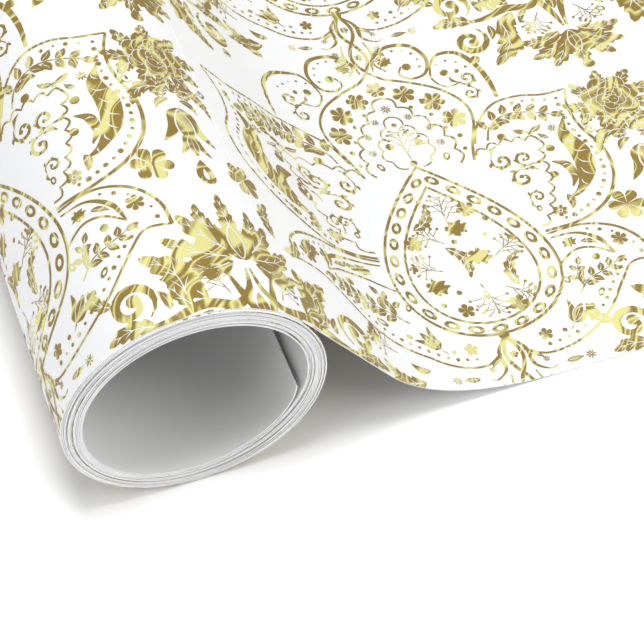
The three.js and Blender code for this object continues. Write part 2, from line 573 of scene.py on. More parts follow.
def teardrop(height, width, points=56):
    """A drop with its tip up and its round end down, anticlockwise."""
    t = np.linspace(0, 2 * math.pi, points, endpoint=False)
    return np.stack([-np.sin(t) * np.sin(t / 2) * width / 1.5396, np.cos(t) * height / 2], 1)


def scallops(line, count, depth):
    """Arcs along a line that meet in points and bulge to its left, or to its right if depth is negative."""
    stops = evenly(smooth(line), count * 6 + 1)[0]
    wave = np.abs(np.sin(np.linspace(0, math.pi * count, len(stops))))
    return stops + normals(stops) * wave[:, None] * depth


def both_halves(half):
    """A line drawn for the right side, made whole over the top."""
    right = smooth(half)
    return np.vstack([right, (right * (-1, 1))[-2::-1]])


class Ink:
    """Shapes printed one over another: each is an outline, and lays gold or leaves the paper bare.

    Shapes are drawn for the right of a column, and with side at -1 the same call draws on its left.
    The flank between a column of bouquets and the next column of drops is the wide one: lines
    stretch across it, and small motifs grow a little wider there.
    """

    def __init__(self):
        self.shapes = []
        self.side = 1
        self.column(0.0, DROP_SIDE, 1.0, FLANK)

    def column(self, centre, core, right, left):
        """Chooses the column to draw about: its line, half its core's width and how wide its flanks are."""
        self.centre = centre
        self.core = core
        self.flank = {1: right, -1: left}

    def spot(self, points):
        """Where points of the drawing lie on the sheet."""
        points = np.array(points, float)
        out = points[..., 0]
        beyond = np.maximum(np.abs(out) - self.core, 0) * np.sign(out) * (self.flank[self.side] - 1)
        points[..., 0] = self.centre + self.side * (out + beyond)
        return points

    def wider(self, about):
        """How much wider than drawn a small motif is made at a point."""
        return 1 + 0.7 * (self.flank[self.side] - 1) * min(1, max(0, (abs(about[0]) - self.core) / 4))

    def fill(self, outline, gold=True, about=None):
        """A shape about a point: the point finds its place on the flank, and the shape stretches less."""
        outline = np.asarray(outline, float)
        about = outline.mean(0) if about is None else np.asarray(about, float)
        self.shapes.append(
            ((outline - about) * (self.side * self.wider(about), 1) + self.spot(about), gold)
        )

    def lay(self, outline, gold=True):
        """A shape that is given where it lies on the sheet."""
        self.shapes.append((outline, gold))

    def frame(self, outline, thick):
        """A closed outline drawn as a stroke of even thickness."""
        outline = self.spot(outline)
        self.lay(outline)
        inner = outline + self.side * normals(outline, closed=True) * thick
        self.lay(inner, gold=False)

    def line(self, points, widths, gold=True):
        """A stroke that stretches with the flank."""
        self.lay(band(self.spot(points), widths), gold)

    def beads(self, points, spacing=2.2, sizes=(0.4, 0.56, 0.44, 0.62)):
        """A row of dots along a line, with sizes that come round in turn."""
        line = self.spot(points)
        count = max(2, round(distances(line)[-1] / spacing))
        for i, point in enumerate(evenly(line, count)[0]):
            size = sizes[i % len(sizes)]
            self.lay(point + ellipse(size, size, 6))

    def dot(self, at, radius, gold=True, about=None):
        self.fill(
            placed(ellipse(radius, radius, 6 if radius < 0.5 else 10), at),
            gold,
            at if about is None else about,
        )

    def ring(self, at, rx, ry, angle=0.0, hole=0.5):
        """An oval with an oval hole."""
        self.fill(placed(ellipse(rx, ry, 14), at, angle), True, at)
        self.fill(placed(ellipse(rx * hole, ry * hole, 8), at, angle), False, at)

    def petal(self, base, tip, width, bend, vein, about):
        """A pointed petal, placed by the point about which its motif is drawn."""
        way = tip - base
        side = np.array([-way[1], way[0]])
        t = np.linspace(0, 1, 9)[:, None]
        spine = base + way * t + side * bend * np.sin(math.pi * t)
        half = width / 2 * np.sin(math.pi * t**0.8) ** 0.9
        n = normals(spine)
        self.fill(np.vstack([spine[:-1] + (n * half)[:-1], (spine - n * half)[:0:-1]]), True, about)
        if vein:
            self.fill(band(spine[1:7], [vein, vein * 0.4]), False, about)

    def leaf(self, base, tip, width, bend=0.0, vein=0.2, about=None):
        """A pointed leaf, bowed sideways by bend, with a bare midrib."""
        base, tip = np.asarray(base, float), np.asarray(tip, float)
        self.petal(base, tip, width, bend, vein, (base + tip) / 2 if about is None else about)

    def flower(self, at, radius, petals=6, turn=0.0, eye=0.16, about=None):
        """A flat flower of round petals, parted by bare slits."""
        about = at if about is None else about
        t = np.linspace(0, 2 * math.pi, petals * 8, endpoint=False)
        reach = radius * (0.5 + 0.5 * np.abs(np.cos(petals * t / 2)) ** 0.5)
        self.fill(placed(np.stack([reach * np.cos(t), reach * np.sin(t)], 1), at, turn), True, about)
        for i in range(petals):
            way = turned([(0.1 * radius, 0), (0.7 * radius, 0)], 360 * (i + 0.5) / petals + turn)
            self.fill(band(way + at, [0.02 * radius, 0.09 * radius]), False, about)
        if eye:
            self.dot(at, radius * eye * 1.6, False, about)
            self.dot(at, radius * eye, True, about)

    def star(self, at, radius, rays=8, about=None):
        """A little burst of pointed rays."""
        about = at if about is None else about
        for i in range(rays):
            way = turned([(0.16 * radius, 0), (0.65 * radius, 0), (radius, 0)], 360 * i / rays)
            self.fill(band(way + at, [0.12 * radius, 0.36 * radius, 0.05 * radius]), True, about)

    def blob(self, at, radius, turn=0.0):
        """A ragged little leaf cluster."""
        t = np.linspace(0, 2 * math.pi, 33, endpoint=False)
        reach = radius * (0.78 + 0.16 * np.cos(7 * t + 1) + 0.12 * np.cos(11 * t))
        self.fill(placed(np.stack([reach * np.cos(t), 0.8 * reach * np.sin(t)], 1), at, turn), True, at)

    def curl(self, at, radius, turns=1.2, start=0.0, width=0.9, flip=1, about=None):
        """A scroll that winds in from a fine tip to a round ball."""
        about = at if about is None else about
        t = np.linspace(0, 1, int(12 * turns) + 6)
        angle = np.radians(start) + flip * 2 * math.pi * turns * t
        reach = radius * (1 - 0.78 * t)
        line = np.stack([reach * np.cos(angle), reach * np.sin(angle)], 1) + at
        self.fill(band(line, [0.15, 0.75 * width, width, width * 0.8, width * 0.5]), True, about)
        self.dot(line[-1], width * 0.7, True, about)

    def filigree(self, at, radius, turn=0.0, flip=1):
        """A scroll set with little hooks and leaves, like bent wire."""
        at = np.asarray(at, float)
        self.curl(at, radius, 1.15, turn, radius * 0.3, flip, at)
        for i in range(5):
            angle = turn + flip * (50 + 55 * i)
            reach = radius * (1 - 0.19 * i)
            root = at + turned([(reach * 0.85, 0)], angle)[0]
            tip = at + turned([(reach * 1.3, 0)], angle + flip * 24)[0]
            self.petal(root, tip, radius * 0.3, -0.2 * flip, 0, at)
        tail = at + turned(
            [
                (radius * 1.0, 0),
                (radius * 1.35, -flip * radius * 0.6),
                (radius * 1.2, -flip * radius * 1.2),
            ],
            turn,
        )
        self.fill(band(smooth(tail, 3), [radius * 0.12, radius * 0.32, 0.1]), True, at)
        self.dot(tail[1], radius * 0.2, True, at)

    def sprig(self, base, angle, size, arms=6):
        """A hair-fine sprig with a berry at the end of every twig."""
        base = np.asarray(base, float)

        def twig(points, thick):
            self.fill(band(placed(smooth(points, 3), base, angle, size), thick), True, base)
            self.dot(placed([points[-1]], base, angle, size)[0], 0.36, True, base)

        twig([(0, 0), (0.45, 0.05), (1, 0)], [0.22, 0.16])
        for i in range(arms):
            side = 1 if i % 2 else -1
            root = 0.26 + 0.12 * i
            reach = 0.66 - 0.07 * i
            twig(
                [
                    (root, 0),
                    (root + reach * 0.5, side * reach * 0.32),
                    (root + reach * 0.72, side * reach * 0.74),
                ],
                [0.18, 0.14],
            )
            twig(
                [(root + reach * 0.3, side * reach * 0.2), (root + reach * 0.28, side * reach * 0.8)],
                [0.16, 0.13],
            )

    def branch(self, points, leaf, width, spacing, stem=0.25):
        """A stem that stretches with the flank, with pairs of leaves along it."""
        line = self.spot(smooth(points))
        leaf, width = leaf * self.wider(points[-1]) ** 0.5, width * self.wider(points[-1]) ** 0.5
        self.lay(band(line, [stem * 1.3, stem * 0.6]))
        count = max(2, round(distances(line)[-1] / spacing))
        at, way = evenly(line, count + 1)
        # The line is on the sheet already, so its leaves are laid as they are drawn.
        keep = self.side, self.centre, self.flank
        self.side, self.centre, self.flank = 1, 0.0, {1: 1.0}
        for i in range(1, count + 1):
            size = leaf * (1.0 - 0.25 * i / count)
            if i < count:
                for side in (1, -1):
                    root, tip = placed([(size * 0.2, 0), (size * 1.1, 0)], at[i], way[i] + side * 50)
                    self.leaf(root, tip, width, bend=-0.12 * side)
        self.leaf(at[-1], placed([(leaf * 0.9, 0)], at[-1], way[-1])[0], width)
        self.side, self.centre, self.flank = keep

    def feather(self, points, widths, slits, slant=35):
        """A broad curved plume cut across by bare slits."""
        line = self.spot(smooth(points, 7))
        widths = np.array(widths) * self.wider(points[0])
        self.lay(band(line, widths))
        at, way = evenly(line, slits + 2)
        share = np.linspace(0, 1, slits + 2)
        for i in range(1, slits + 1):
            half = 0.5 * np.interp(share[i], np.linspace(0, 1, len(widths)), widths)
            cut = smooth([(-half * 0.95, 0), (0, half * 0.3), (half * 0.7, 0)], 3)
            self.lay(band(placed(cut, at[i], way[i] + 90 - slant * self.side), [0.08, 0.36, 0.1]), False)

    def acanthus(self, base, tip, width, bend=0.15, lobes=4, about=None):
        """A broad leaf with hooked lobes, a bare midrib and bare side veins."""
        base, tip = np.asarray(base, float), np.asarray(tip, float)
        about = (base + tip) / 2 if about is None else about
        way = tip - base
        side = np.array([-way[1], way[0]])
        t = np.linspace(0, 1, lobes * 7 + 1)
        spine = base + way * t[:, None] + side * (bend * np.sin(math.pi * t))[:, None]
        n = normals(spine)
        tooth = (t * lobes) % 1.0
        rim = 0.6 + 0.4 * np.where(tooth < 0.75, (tooth / 0.75) ** 0.8, ((1 - tooth) / 0.25) ** 1.4)
        half = (width / 2 * np.sin(math.pi * np.clip(t, 0.02, 1) ** 0.7) ** 0.75 * rim)[:, None]
        half[0] = half[-1] = 0
        lean = np.gradient(spine, axis=0)
        lean = lean / np.linalg.norm(lean, axis=1, keepdims=True) * half * 0.45
        left = spine + n * half + lean
        right = spine - n * half + lean
        self.fill(np.vstack([left[:-1], right[:0:-1]]), True, about)
        self.fill(band(spine[2:-4:2], [0.3, 0.08]), False, about)
        for i in range(1, lobes):
            k = min(i * 7 + 1, len(t) - 2)
            for s in (1, -1):
                mid = spine[k] + s * n[k] * half[k] * 0.4 + lean[k] * 0.7
                end = spine[k] + s * n[k] * half[k] * 0.78 + lean[k] * 1.9
                self.fill(band(np.array([spine[k - 2], mid, end]), [0.16, 0.22, 0.05]), False, about)

    def rose(self, at, radius, turn=0.0):
        """A full rose: rings of petals laid over one another from the outside in, edged by bare paper."""
        at = np.asarray(at, float)
        shape = smooth(
            [
                (-0.75, -0.55), (-0.1, -1.0), (0.62, -0.85), (1.02, -0.3), (0.92, 0.35), (0.45, 0.9),
                (-0.35, 0.95), (-0.75, 0.5),
            ],
            2,
            closed=True,
        )
        for petals, reach, size in ((7, 0.74, 0.42), (6, 0.5, 0.37), (5, 0.28, 0.3), (3, 0.12, 0.2)):
            for i in range(petals):
                angle = turn + 360 * i / petals + 23 * petals
                for gold, cup in ((False, shape * (size * radius + 0.17)), (True, shape * size * radius)):
                    self.fill(turned(placed(cup, (reach * radius, 0)), angle) + at, gold, at)
                crease = smooth(
                    [
                        (reach - 0.3 * size, 0.1 * size),
                        (reach + 0.25 * size, 0.28 * size),
                        (reach + 0.62 * size, 0.1 * size),
                    ],
                    3,
                ) * radius
                self.fill(band(turned(crease, angle) + at, [0.05, 0.22, 0.05]), False, at)
        self.dot(at, radius * 0.11, True, at)

    def tulip(self, at, size, angle=0.0, stem=True):
        """A bell flower: two side petals curling out round a middle one."""
        at = np.asarray(at, float)
        petal = smooth(
            [
                (0, -0.9), (0.55, -0.65), (0.72, 0.05), (0.98, 0.62), (1.12, 0.92), (0.6, 0.62),
                (0.26, 0.15), (0.08, -0.4),
            ],
            3,
            closed=True,
        )
        middle = smooth(
            [(0, -0.8), (0.3, -0.2), (0.3, 0.4), (0, 1.0), (-0.3, 0.4), (-0.3, -0.2)], 3, closed=True
        )
        for flip in (1, -1):
            self.fill(placed(petal * (flip, 1.0), at, angle, size), True, at)
        self.fill(placed(middle * (1.25, 1.1), at, angle, size), False, at)
        self.fill(placed(middle, at, angle, size), True, at)
        self.fill(
            band(placed([(0, -0.55), (0, 0.3), (0, 0.72)], at, angle, size), [0.1, 0.26, 0.08]), False, at
        )
        if stem:
            self.fill(
                band(placed([(0, -0.85), (0.05, -1.2), (0, -1.6)], at, angle, size), [0.3, 0.18]),
                True,
                at,
            )

    def fan(self, at, spread, reach, width, inner=3.0):
        """Acanthus leaves opening from one point, the outer ones laid first."""
        at = np.asarray(at, float)
        order = sorted(range(len(spread)), key=lambda i: -abs(i - (len(spread) - 1) / 2))
        for i in order:
            base = placed([(inner, 0)], at, spread[i])[0]
            tip = placed([(reach[i], 0)], at, spread[i])[0]
            lean = (i - (len(spread) - 1) / 2) / max(len(spread) - 1, 1)
            self.acanthus(base, tip, width, 0.34 * lean, 4, at)

    def mirrored(self, draw):
        """Draws on the right side, then on the left."""
        for self.side in (1, -1):
            draw(self)
        self.side = 1


# ---- The repeat ----
def medallion(ink):
    """The drop: a chain of rings between two outlines, round a bed of sprigs and small leaves."""
    ink.frame(teardrop(47.6, 37.6, 60) + (0, 35.8), 0.62)
    ink.frame(teardrop(38.4, 28.2, 52) + (0, 34.4), 0.52)
    for at, angle in zip(*evenly(teardrop(42.8, 32.8, 64) + (0, 35.1), 23, closed=True)):
        ink.ring(at, 1.75, 1.05, angle, 0.48)
    for base, angle, size in (
        ((0.5, 41.5), 84, 8.2), ((-5.6, 30.2), 158, 6.6), ((6.4, 31.4), 28, 6.6), ((0.6, 25.6), -84, 8.2),
        ((-2.4, 37.4), 140, 6.0), ((5.4, 23.4), -40, 6.0),
    ):
        ink.sprig(base, angle, size)
    for at, radius, turn in (
        ((-9.2, 38.2), 2.1, 10), ((5.6, 45.2), 2.1, 35), ((6.2, 18.7), 2.1, 60), ((-5.0, 19.4), 1.8, 20)
    ):
        ink.flower(at, radius, 5, turn, 0)
    for at, radius, turn in (((1.6, 40.8), 3.0, 20), ((3.4, 32.4), 3.1, -15), ((-8.6, 26.2), 3.1, 5)):
        ink.blob(at, radius, turn)
    ink.acanthus((-7.6, 42.0), (-2.6, 48.8), 2.9, -0.2, 5)
    ink.acanthus((-2.8, 36.2), (-0.6, 27.4), 3.0, 0.22, 5)
    ink.acanthus((8.2, 23.0), (11.6, 31.6), 2.9, 0.2, 5)
    for at, radius in (
        ((-3.4, 49.4), 0.6), ((8.6, 41.6), 0.7), ((-11.6, 31.4), 0.7), ((11.4, 35.2), 0.6),
        ((-9.2, 21.4), 0.6), ((0.8, 21.8), 0.5), ((-0.2, 37.4), 0.6), ((9.6, 20.8), 0.5),
        ((6.8, 37.6), 0.5), ((-4.6, 24.2), 0.6),
    ):
        ink.dot(at, radius)


def ogee(ink):
    """The domed cartouche over the drop, and what stands on its middle line."""
    ink.line(
        both_halves(
            [
                (12.7, 57.4), (14.4, 62.4), (17.0, 68.2), (17.1, 73.6), (13.8, 79.0), (8.2, 83.2),
                (2.8, 86.0), (0, 88.8),
            ]
        ),
        [0.6],
    )
    ink.flower((0, 83.2), 2.3, 6)
    ink.sprig((0, 61.6), 90, 8.2, 7)
    ink.star((0, 77.0), 1.3)
    ink.dot((0, 72.0), 0.6)
    ink.dot((0, 60.4), 0.8)


def ogee_side(ink):
    """The two lobed frames inside the cartouche, with flowers and dots round them."""
    ink.line(
        scallops([(9.7, 57.6), (10.0, 62.6), (8.9, 67.6), (6.0, 72.4), (2.8, 76.6), (0, 80.4)], 6, -1.3),
        [0.48],
    )
    ink.line(scallops([(1.7, 59.0), (4.9, 62.4), (4.9, 66.4), (2.6, 70.6), (0, 74.6)], 5, -0.9), [0.36])
    for at, radius, turn in (((5.5, 80.3), 2.6, 10), ((10.7, 76.3), 2.8, 40), ((13.4, 70.2), 2.8, 5)):
        ink.flower(at, radius, 6, turn, 0)
    for at in ((3.9, 73.6), (7.2, 69.4), (7.9, 64.6)):
        ink.star(at, 1.05)
    for at, radius in (
        ((3.4, 66.0), 0.95), ((12.6, 65.0), 0.6), ((9.0, 72.8), 0.5), ((8.4, 77.6), 0.4),
        ((12.2, 61.2), 0.5), ((1.6, 69.4), 0.45), ((5.6, 76.2), 0.5), ((10.6, 68.2), 0.45),
    ):
        ink.dot(at, radius)
    ink.ring((7.6, 60.4), 0.75, 1.2, -20)


def crown(ink):
    """Two scrolls on each shoulder of the cartouche."""
    ink.line(
        smooth(
            [
                (1.6, 88.6), (2.7, 92.4), (6.9, 95.2), (12.0, 94.0), (14.2, 89.4), (12.6, 85.0),
                (9.0, 84.2), (6.9, 86.2), (8.0, 88.4),
            ]
        ),
        [0.35, 0.95, 1.0, 0.85, 0.6, 0.4],
    )
    ink.dot((9.2, 88.0), 1.05)
    ink.blob((5.0, 90.8), 2.0, 30)
    ink.beads(smooth([(5.6, 93.6), (9.6, 93.4), (12.2, 90.6), (12.0, 87.2)]), 1.9, (0.3, 0.38))
    ink.line(
        smooth([(14.0, 86.2), (16.6, 89.2), (21.0, 88.6), (23.8, 84.0), (24.8, 78.2), (24.6, 73.0)]),
        [0.4, 0.9, 1.25, 1.2, 0.8],
    )
    ink.line(smooth([(14.0, 86.2), (13.2, 82.6), (15.4, 79.4), (19.2, 79.8)]), [0.5, 0.3])
    ink.dot((16.4, 83.6), 1.0)
    ink.beads(smooth([(15.6, 86.6), (19.0, 86.8), (21.6, 83.8)]), 1.9, (0.3, 0.38))
    ink.filigree((20.4, 80.6), 2.2, 200)
    ink.filigree((19.6, 76.0), 1.9, 60, -1)
    ink.dot((19.2, 83.2), 0.6)


def finial(ink):
    """Two lens-shaped links that hang each drop's foot over the cartouche below."""
    for low, high in ((-7.2, 2.6), (2.0, 11.8)):
        lens = np.array(
            [(0, low), (1.7, low + 2.6), (2.1, (low + high) / 2), (1.5, high - 2.4), (0, high)]
        )
        ink.frame(smooth(np.vstack([lens, (lens * (-1, 1))[-2:0:-1]]), 4, closed=True), 0.8)
        ink.flower((0, (low + high) / 2), 0.95, 5, 0, 0)
    ink.dot((0, 11.8), 1.15)


def finial_side(ink):
    """Hooked tendrils and small leaves that run out from the links."""
    ink.line(
        smooth([(0.6, 11.2), (2.9, 7.8), (3.1, 3.6), (5.6, 1.6), (7.4, 1.9)]), [0.3, 0.7, 0.9, 0.5, 0.15]
    )
    ink.line(smooth([(2.6, 2.2), (3.3, -1.6), (2.6, -5.2), (4.4, -8.0)]), [0.2, 0.8, 0.6, 0.3])
    ink.leaf((2.9, 6.4), (5.6, 4.4), 1.1, 0.12)
    ink.leaf((3.2, -1.4), (5.9, -3.4), 1.1, 0.12)
    ink.leaf((3.0, -4.4), (5.2, -2.2), 1.0, -0.12)
    ink.star((5.0, -0.6), 0.95)
    ink.star((5.8, 4.0), 0.8)
    ink.leaf((9.4, 2.2), (13.2, 2.2), 1.3)
    ink.star((14.6, 2.2), 1.15)


def upper_paisley(ink):
    """The larger side lobe: a leafy branch and a striped plume round a lobed bed of filigree."""
    ink.line(
        smooth([(14.6, 61.6), (17.4, 66.8), (22.6, 71.2), (28.6, 71.8), (34.2, 70.4), (39.6, 70.4)]),
        [0.52],
    )
    ink.line(
        smooth(
            [
                (39.6, 70.4), (37.9, 65.0), (38.2, 58.6), (40.2, 51.6), (39.2, 44.0), (34.6, 37.8),
                (27.4, 34.6), (19.0, 34.2),
            ]
        ),
        [0.52, 0.8, 0.6],
    )
    ink.beads(
        smooth(
            [
                (36.6, 68.4), (36.0, 62.6), (36.5, 57.4), (38.2, 51.4), (37.4, 45.0), (33.4, 39.6),
                (27.6, 36.6), (24.6, 36.2),
            ]
        ),
        1.95,
    )
    ink.beads(smooth([(24.4, 69.9), (29.0, 70.1), (34.0, 68.8)]), 2.1, (0.34, 0.5))
    ink.branch(
        [(17.6, 61.6), (19.6, 65.2), (24.0, 67.4), (29.0, 66.6), (33.4, 64.6)], 3.7, 1.75, 2.9, 0.34
    )
    ink.dot((20.8, 61.6), 1.0)
    ink.leaf((26.6, 61.2), (23.8, 62.8), 1.3, 0.1)
    ink.leaf((27.2, 61.2), (30.2, 62.4), 1.3, -0.1)
    ink.dot((26.9, 60.8), 0.6)
    ink.star((32.2, 60.4), 1.2)
    ink.feather(
        [(27.2, 40.8), (30.6, 42.2), (34.0, 46.6), (35.0, 52.4), (33.9, 57.8), (35.4, 62.4)],
        [0.3, 2.0, 4.2, 4.6, 3.2, 0.2],
        7,
    )
    ink.feather([(28.2, 51.6), (30.7, 49.8), (31.2, 46.4), (29.6, 43.6)], [0.2, 2.1, 1.7, 0.3], 2)
    ink.leaf((27.4, 42.0), (27.0, 38.0), 1.7, 0.12)
    ink.dot((29.4, 55.2), 1.0)
    ink.dot((27.2, 48.0), 0.95)
    ink.leaf((30.4, 58.2), (28.6, 60.0), 1.1, 0.1)
    ink.line(scallops([(13.6, 58.4), (18.0, 59.6), (23.2, 59.4), (28.0, 58.4)], 5, 1.2), [0.45])
    ink.line(
        scallops(
            [(28.0, 58.4), (26.4, 54.0), (25.6, 48.4), (23.6, 42.4), (21.4, 38.4), (19.0, 35.8)], 8, 1.2
        ),
        [0.45],
    )
    ink.filigree((18.2, 55.2), 2.5, 130)
    ink.filigree((23.0, 54.4), 2.3, 300, -1)
    ink.filigree((20.6, 49.2), 2.5, 60)
    ink.filigree((21.4, 43.4), 1.8, 200, -1)
    ink.ring((20.4, 40.3), 0.6, 0.9)
    ink.flower((24.3, 38.3), 1.6, 6, 12, 0.2)


def lower_paisley(ink):
    """The smaller side lobe, with a crescent, a little branch and a bell flower."""
    ink.line(
        smooth([(19.0, 33.4), (26.8, 33.5), (33.2, 30.8), (36.8, 26.0), (37.4, 20.8)]), [0.46, 0.6, 0.7]
    )
    ink.line(
        smooth(
            [(37.4, 20.8), (32.4, 20.8), (28.4, 17.0), (22.4, 10.6), (14.4, 6.2), (7.0, 5.2), (2.4, 7.6)]
        ),
        [0.5],
    )
    ink.line(smooth([(19.2, 32.2), (24.6, 31.8), (28.6, 28.8), (30.2, 24.2)]), [0.36, 0.5, 1.1, 0.4])
    ink.line(smooth([(30.2, 24.2), (26.6, 27.0), (22.6, 27.6), (18.4, 25.2)]), [0.4, 0.52, 0.4])
    ink.blob((22.4, 29.9), 1.8, 15)
    ink.leaf((24.8, 29.4), (28.0, 27.8), 1.25, 0.1)
    ink.flower((32.6, 27.4), 1.8, 6, 20, 0)
    ink.beads(smooth([(27.4, 32.0), (31.6, 30.0), (34.6, 26.6), (35.4, 23.0)]), 2.0, (0.32, 0.5))
    ink.beads(
        smooth([(31.4, 21.8), (27.2, 18.0), (21.6, 12.2), (14.2, 8.0), (8.0, 7.2)]), 2.0, (0.36, 0.5, 0.4)
    )
    ink.dot((26.0, 24.6), 0.85)
    ink.branch([(19.0, 16.8), (22.0, 19.6), (25.4, 20.6), (29.4, 22.0)], 3.0, 1.45, 2.5, 0.26)
    ink.branch([(20.6, 18.2), (20.4, 21.2), (21.6, 23.8)], 2.5, 1.25, 2.2, 0.26)
    ink.ring((17.8, 21.0), 0.65, 1.1, 30)
    ink.ring((23.2, 15.8), 0.65, 1.15, -40)
    ink.tulip((16.4, 12.4), 2.7, -40)
    ink.flower((8.2, 9.7), 1.5, 5, 20, 0)
    ink.dot((20.0, 13.2), 0.6)
    ink.dot((12.2, 9.4), 0.5)


def rose_group(ink):
    """The single blooms that hang one over another between the columns of drops."""
    ink.fan(
        (0, 64.0), (-150, -118, -86, -54, -22, 10, 46, 90, 134, 170),
        (10.4, 9.8, 9.6, 9.8, 10.4, 11.4, 10.2, 9.4, 10.2, 11.4), 3.9, 3.0,
    )
    ink.rose((0, 64.6), 5.6)
    ink.fill(teardrop(3.2, 2.8, 18) + (0, 76.2))
    ink.fan((0, 53.6), (20, 55, 90, 125, 160), (5.0, 6.0, 6.4, 6.0, 5.0), 2.3, 1.2)
    ink.tulip((0, 45.6), 5.0, 180, False)
    ink.tulip((0, 40.4), 3.0, 180, False)
    drop = teardrop(6.2, 4.0, 22)
    ink.fill(drop + (0, 33.4))
    ink.fill(teardrop(3.0, 1.2, 12) + (0, 32.8), False)


def rose_side(ink):
    """Leaves and a flat flower on either side of the hanging blooms."""
    ink.acanthus((1.4, 55.4), (8.9, 50.6), 3.6, 0.26, 4)
    ink.flower((9.8, 35.4), 4.1, 6, 12, 0)
    ink.leaf((1.2, 52.4), (4.6, 49.6), 1.6, 0.2)
    ink.curl((8.2, 57.8), 1.3, 1.0, 200, 0.5)


def bouquets(ink):
    """Two sprays back to back, one up and one hanging, on a knot of stems."""
    ink.fan(
        (0, 11.0), (2, 26, 50, 90, 130, 154, 178), (13.6, 15.4, 15.0, 12.6, 15.0, 15.4, 13.6), 5.2, 2.4
    )
    ink.fan((0, 12.6), (66, 90, 114), (13.4, 15.2, 13.4), 3.6, 5.0)
    ink.tulip((0, 15.4), 4.2, 0, False)
    ink.fan(
        (0, -8.6), (-4, -30, -54, -90, -126, -150, -176), (12.0, 13.0, 12.6, 11.6, 12.6, 13.0, 12.0), 4.7,
        2.2,
    )
    ink.tulip((0, -12.2), 3.6, 180, False)
    ink.leaf((0, -1.6), (0, 4.0), 2.4)


def scroll_arms(ink):
    """The arms that leave the knot on either side, with their leaves and scrolls."""
    ink.line(smooth([(0.4, -7.4), (1.2, -2.6), (2.8, 2.4), (4.6, 8.2)]), [0.5, 1.5, 1.6, 0.5])
    ink.line(
        smooth([(0.4, 9.6), (1.5, 4.6), (5.0, 1.0), (10.6, 1.9), (17.0, 0.4), (22.4, 0.8)]),
        [0.4, 1.4, 2.0, 2.1, 1.3, 0.4],
    )
    ink.curl((22.6, 6.4), 4.6, 1.3, 236, 1.9, -1)
    ink.curl((22.2, -5.2), 4.2, 1.3, 124, 1.8)
    ink.acanthus((9.6, 3.0), (11.4, 15.0), 5.8, -0.2, 4)
    ink.acanthus((13.4, 2.4), (18.6, 15.2), 6.0, 0.18, 4)
    ink.acanthus((9.8, 0.4), (12.0, -11.8), 5.4, 0.2, 4)
    ink.acanthus((13.6, -0.6), (19.6, -14.2), 6.0, -0.18, 4)
    ink.acanthus((12.4, 2.0), (15.2, 8.6), 3.0, -0.1, 3)
    ink.acanthus((19.6, 0.2), (28.8, 1.2), 4.2, 0.12, 4)
    ink.acanthus((25.6, 8.2), (29.0, 14.2), 3.0, -0.16, 3)
    ink.leaf((16.4, 2.6), (17.6, 7.2), 1.7, 0.1)
    ink.leaf((16.6, -1.8), (17.4, -6.4), 1.7, -0.1)
    ink.leaf((6.4, 0.4), (9.4, -3.6), 1.5, 0.1)
    ink.dot((23.4, -10.8), 1.1)
    ink.dot((16.6, 11.6), 0.9)
    ink.sprig((5.4, 3.4), 62, 6.6)
    ink.sprig((4.4, -1.6), -62, 6.4)
    ink.ring((8.2, -5.0), 0.7, 1.0, 30)


def wide_flank(ink):
    """What fills the gaps of the wide flank, on the left of a column of drops."""
    ink.flower((-46.6, 25.0), 2.4, 6, 10, 0)
    ink.sprig((-27.0, 8.0), 160, 6.8)
    ink.acanthus((-22.6, 1.4), (-33.6, 4.6), 4.4, 0.2, 4)
    ink.acanthus((-24.4, -3.4), (-34.6, -1.4), 3.8, -0.2, 4)
    ink.leaf((-20.0, 4.6), (-24.6, 6.0), 1.8, 0.15)
    ink.acanthus((-59.6, 22.0), (-57.4, 31.6), 4.0, 0.2, 4)
    ink.acanthus((-57.4, 20.6), (-51.0, 25.6), 3.4, -0.2, 4)
    ink.flower((-40.6, 62.8), 1.9, 6, 0, 0)
    ink.filigree((-32.6, 48.4), 2.9, 40)
    ink.filigree((-28.8, 55.8), 2.5, 250, -1)
    ink.filigree((-26.6, 43.0), 2.0, 330)
    ink.filigree((-38.4, 56.4), 2.0, 120, -1)
    ink.blob((-35.6, 38.6), 2.4, 10)
    ink.star((-42.6, 41.6), 1.4)
    ink.leaf((-40.6, 38.4), (-45.0, 39.4), 1.8, 0.1)
    ink.leaf((-26.4, 30.0), (-31.6, 30.4), 1.6, 0.1)
    ink.flower((-38.6, 28.0), 2.1, 6, 0, 0)
    ink.star((-51.4, 65.6), 1.3)
    ink.dot((-49.0, 61.4), 0.9)
    ink.dot((-36.0, 61.0), 0.8)


def repeat():
    """Every shape of one repeat, from the bouquets' line on its left to the one on its right."""
    ink = Ink()
    ink.column(BOUQUET_LINE, BOUQUET_SIDE, ARM_REACH, 1.0)
    bouquets(ink)
    ink.mirrored(scroll_arms)
    ink.column(BOUQUET_LINE, BOUQUET_SIDE, 1.2, 1.0)
    rose_group(ink)
    ink.mirrored(rose_side)
    ink.column(0.0, DROP_SIDE, 1.0, 1.0)
    wide_flank(ink)
    ink.column(0.0, DROP_SIDE, 1.0, FLANK)
    ink.mirrored(upper_paisley)
    ink.mirrored(lower_paisley)
    ink.mirrored(crown)
    medallion(ink)
    ogee(ink)
    ink.mirrored(ogee_side)
    finial(ink)
    ink.mirrored(finial_side)
    return ink.shapes


# ---- The repeat as flat triangles ----
REPEAT_LENGTH = TILE_LENGTH * MM
REPEAT_WIDTH = TILE_WIDTH * MM
DROP_LINE = 63.4 * MM  # where a column of drops runs, along from where the paper leaves the coil
PRINT_LINES = 55  # lines in each repeat at which the print can bend
TILE_OVERHANG = 0.5  # how far the cutting lines run past the repeat
SLIVER = 2e-5  # faces with less than this area are left out, in square millimetres


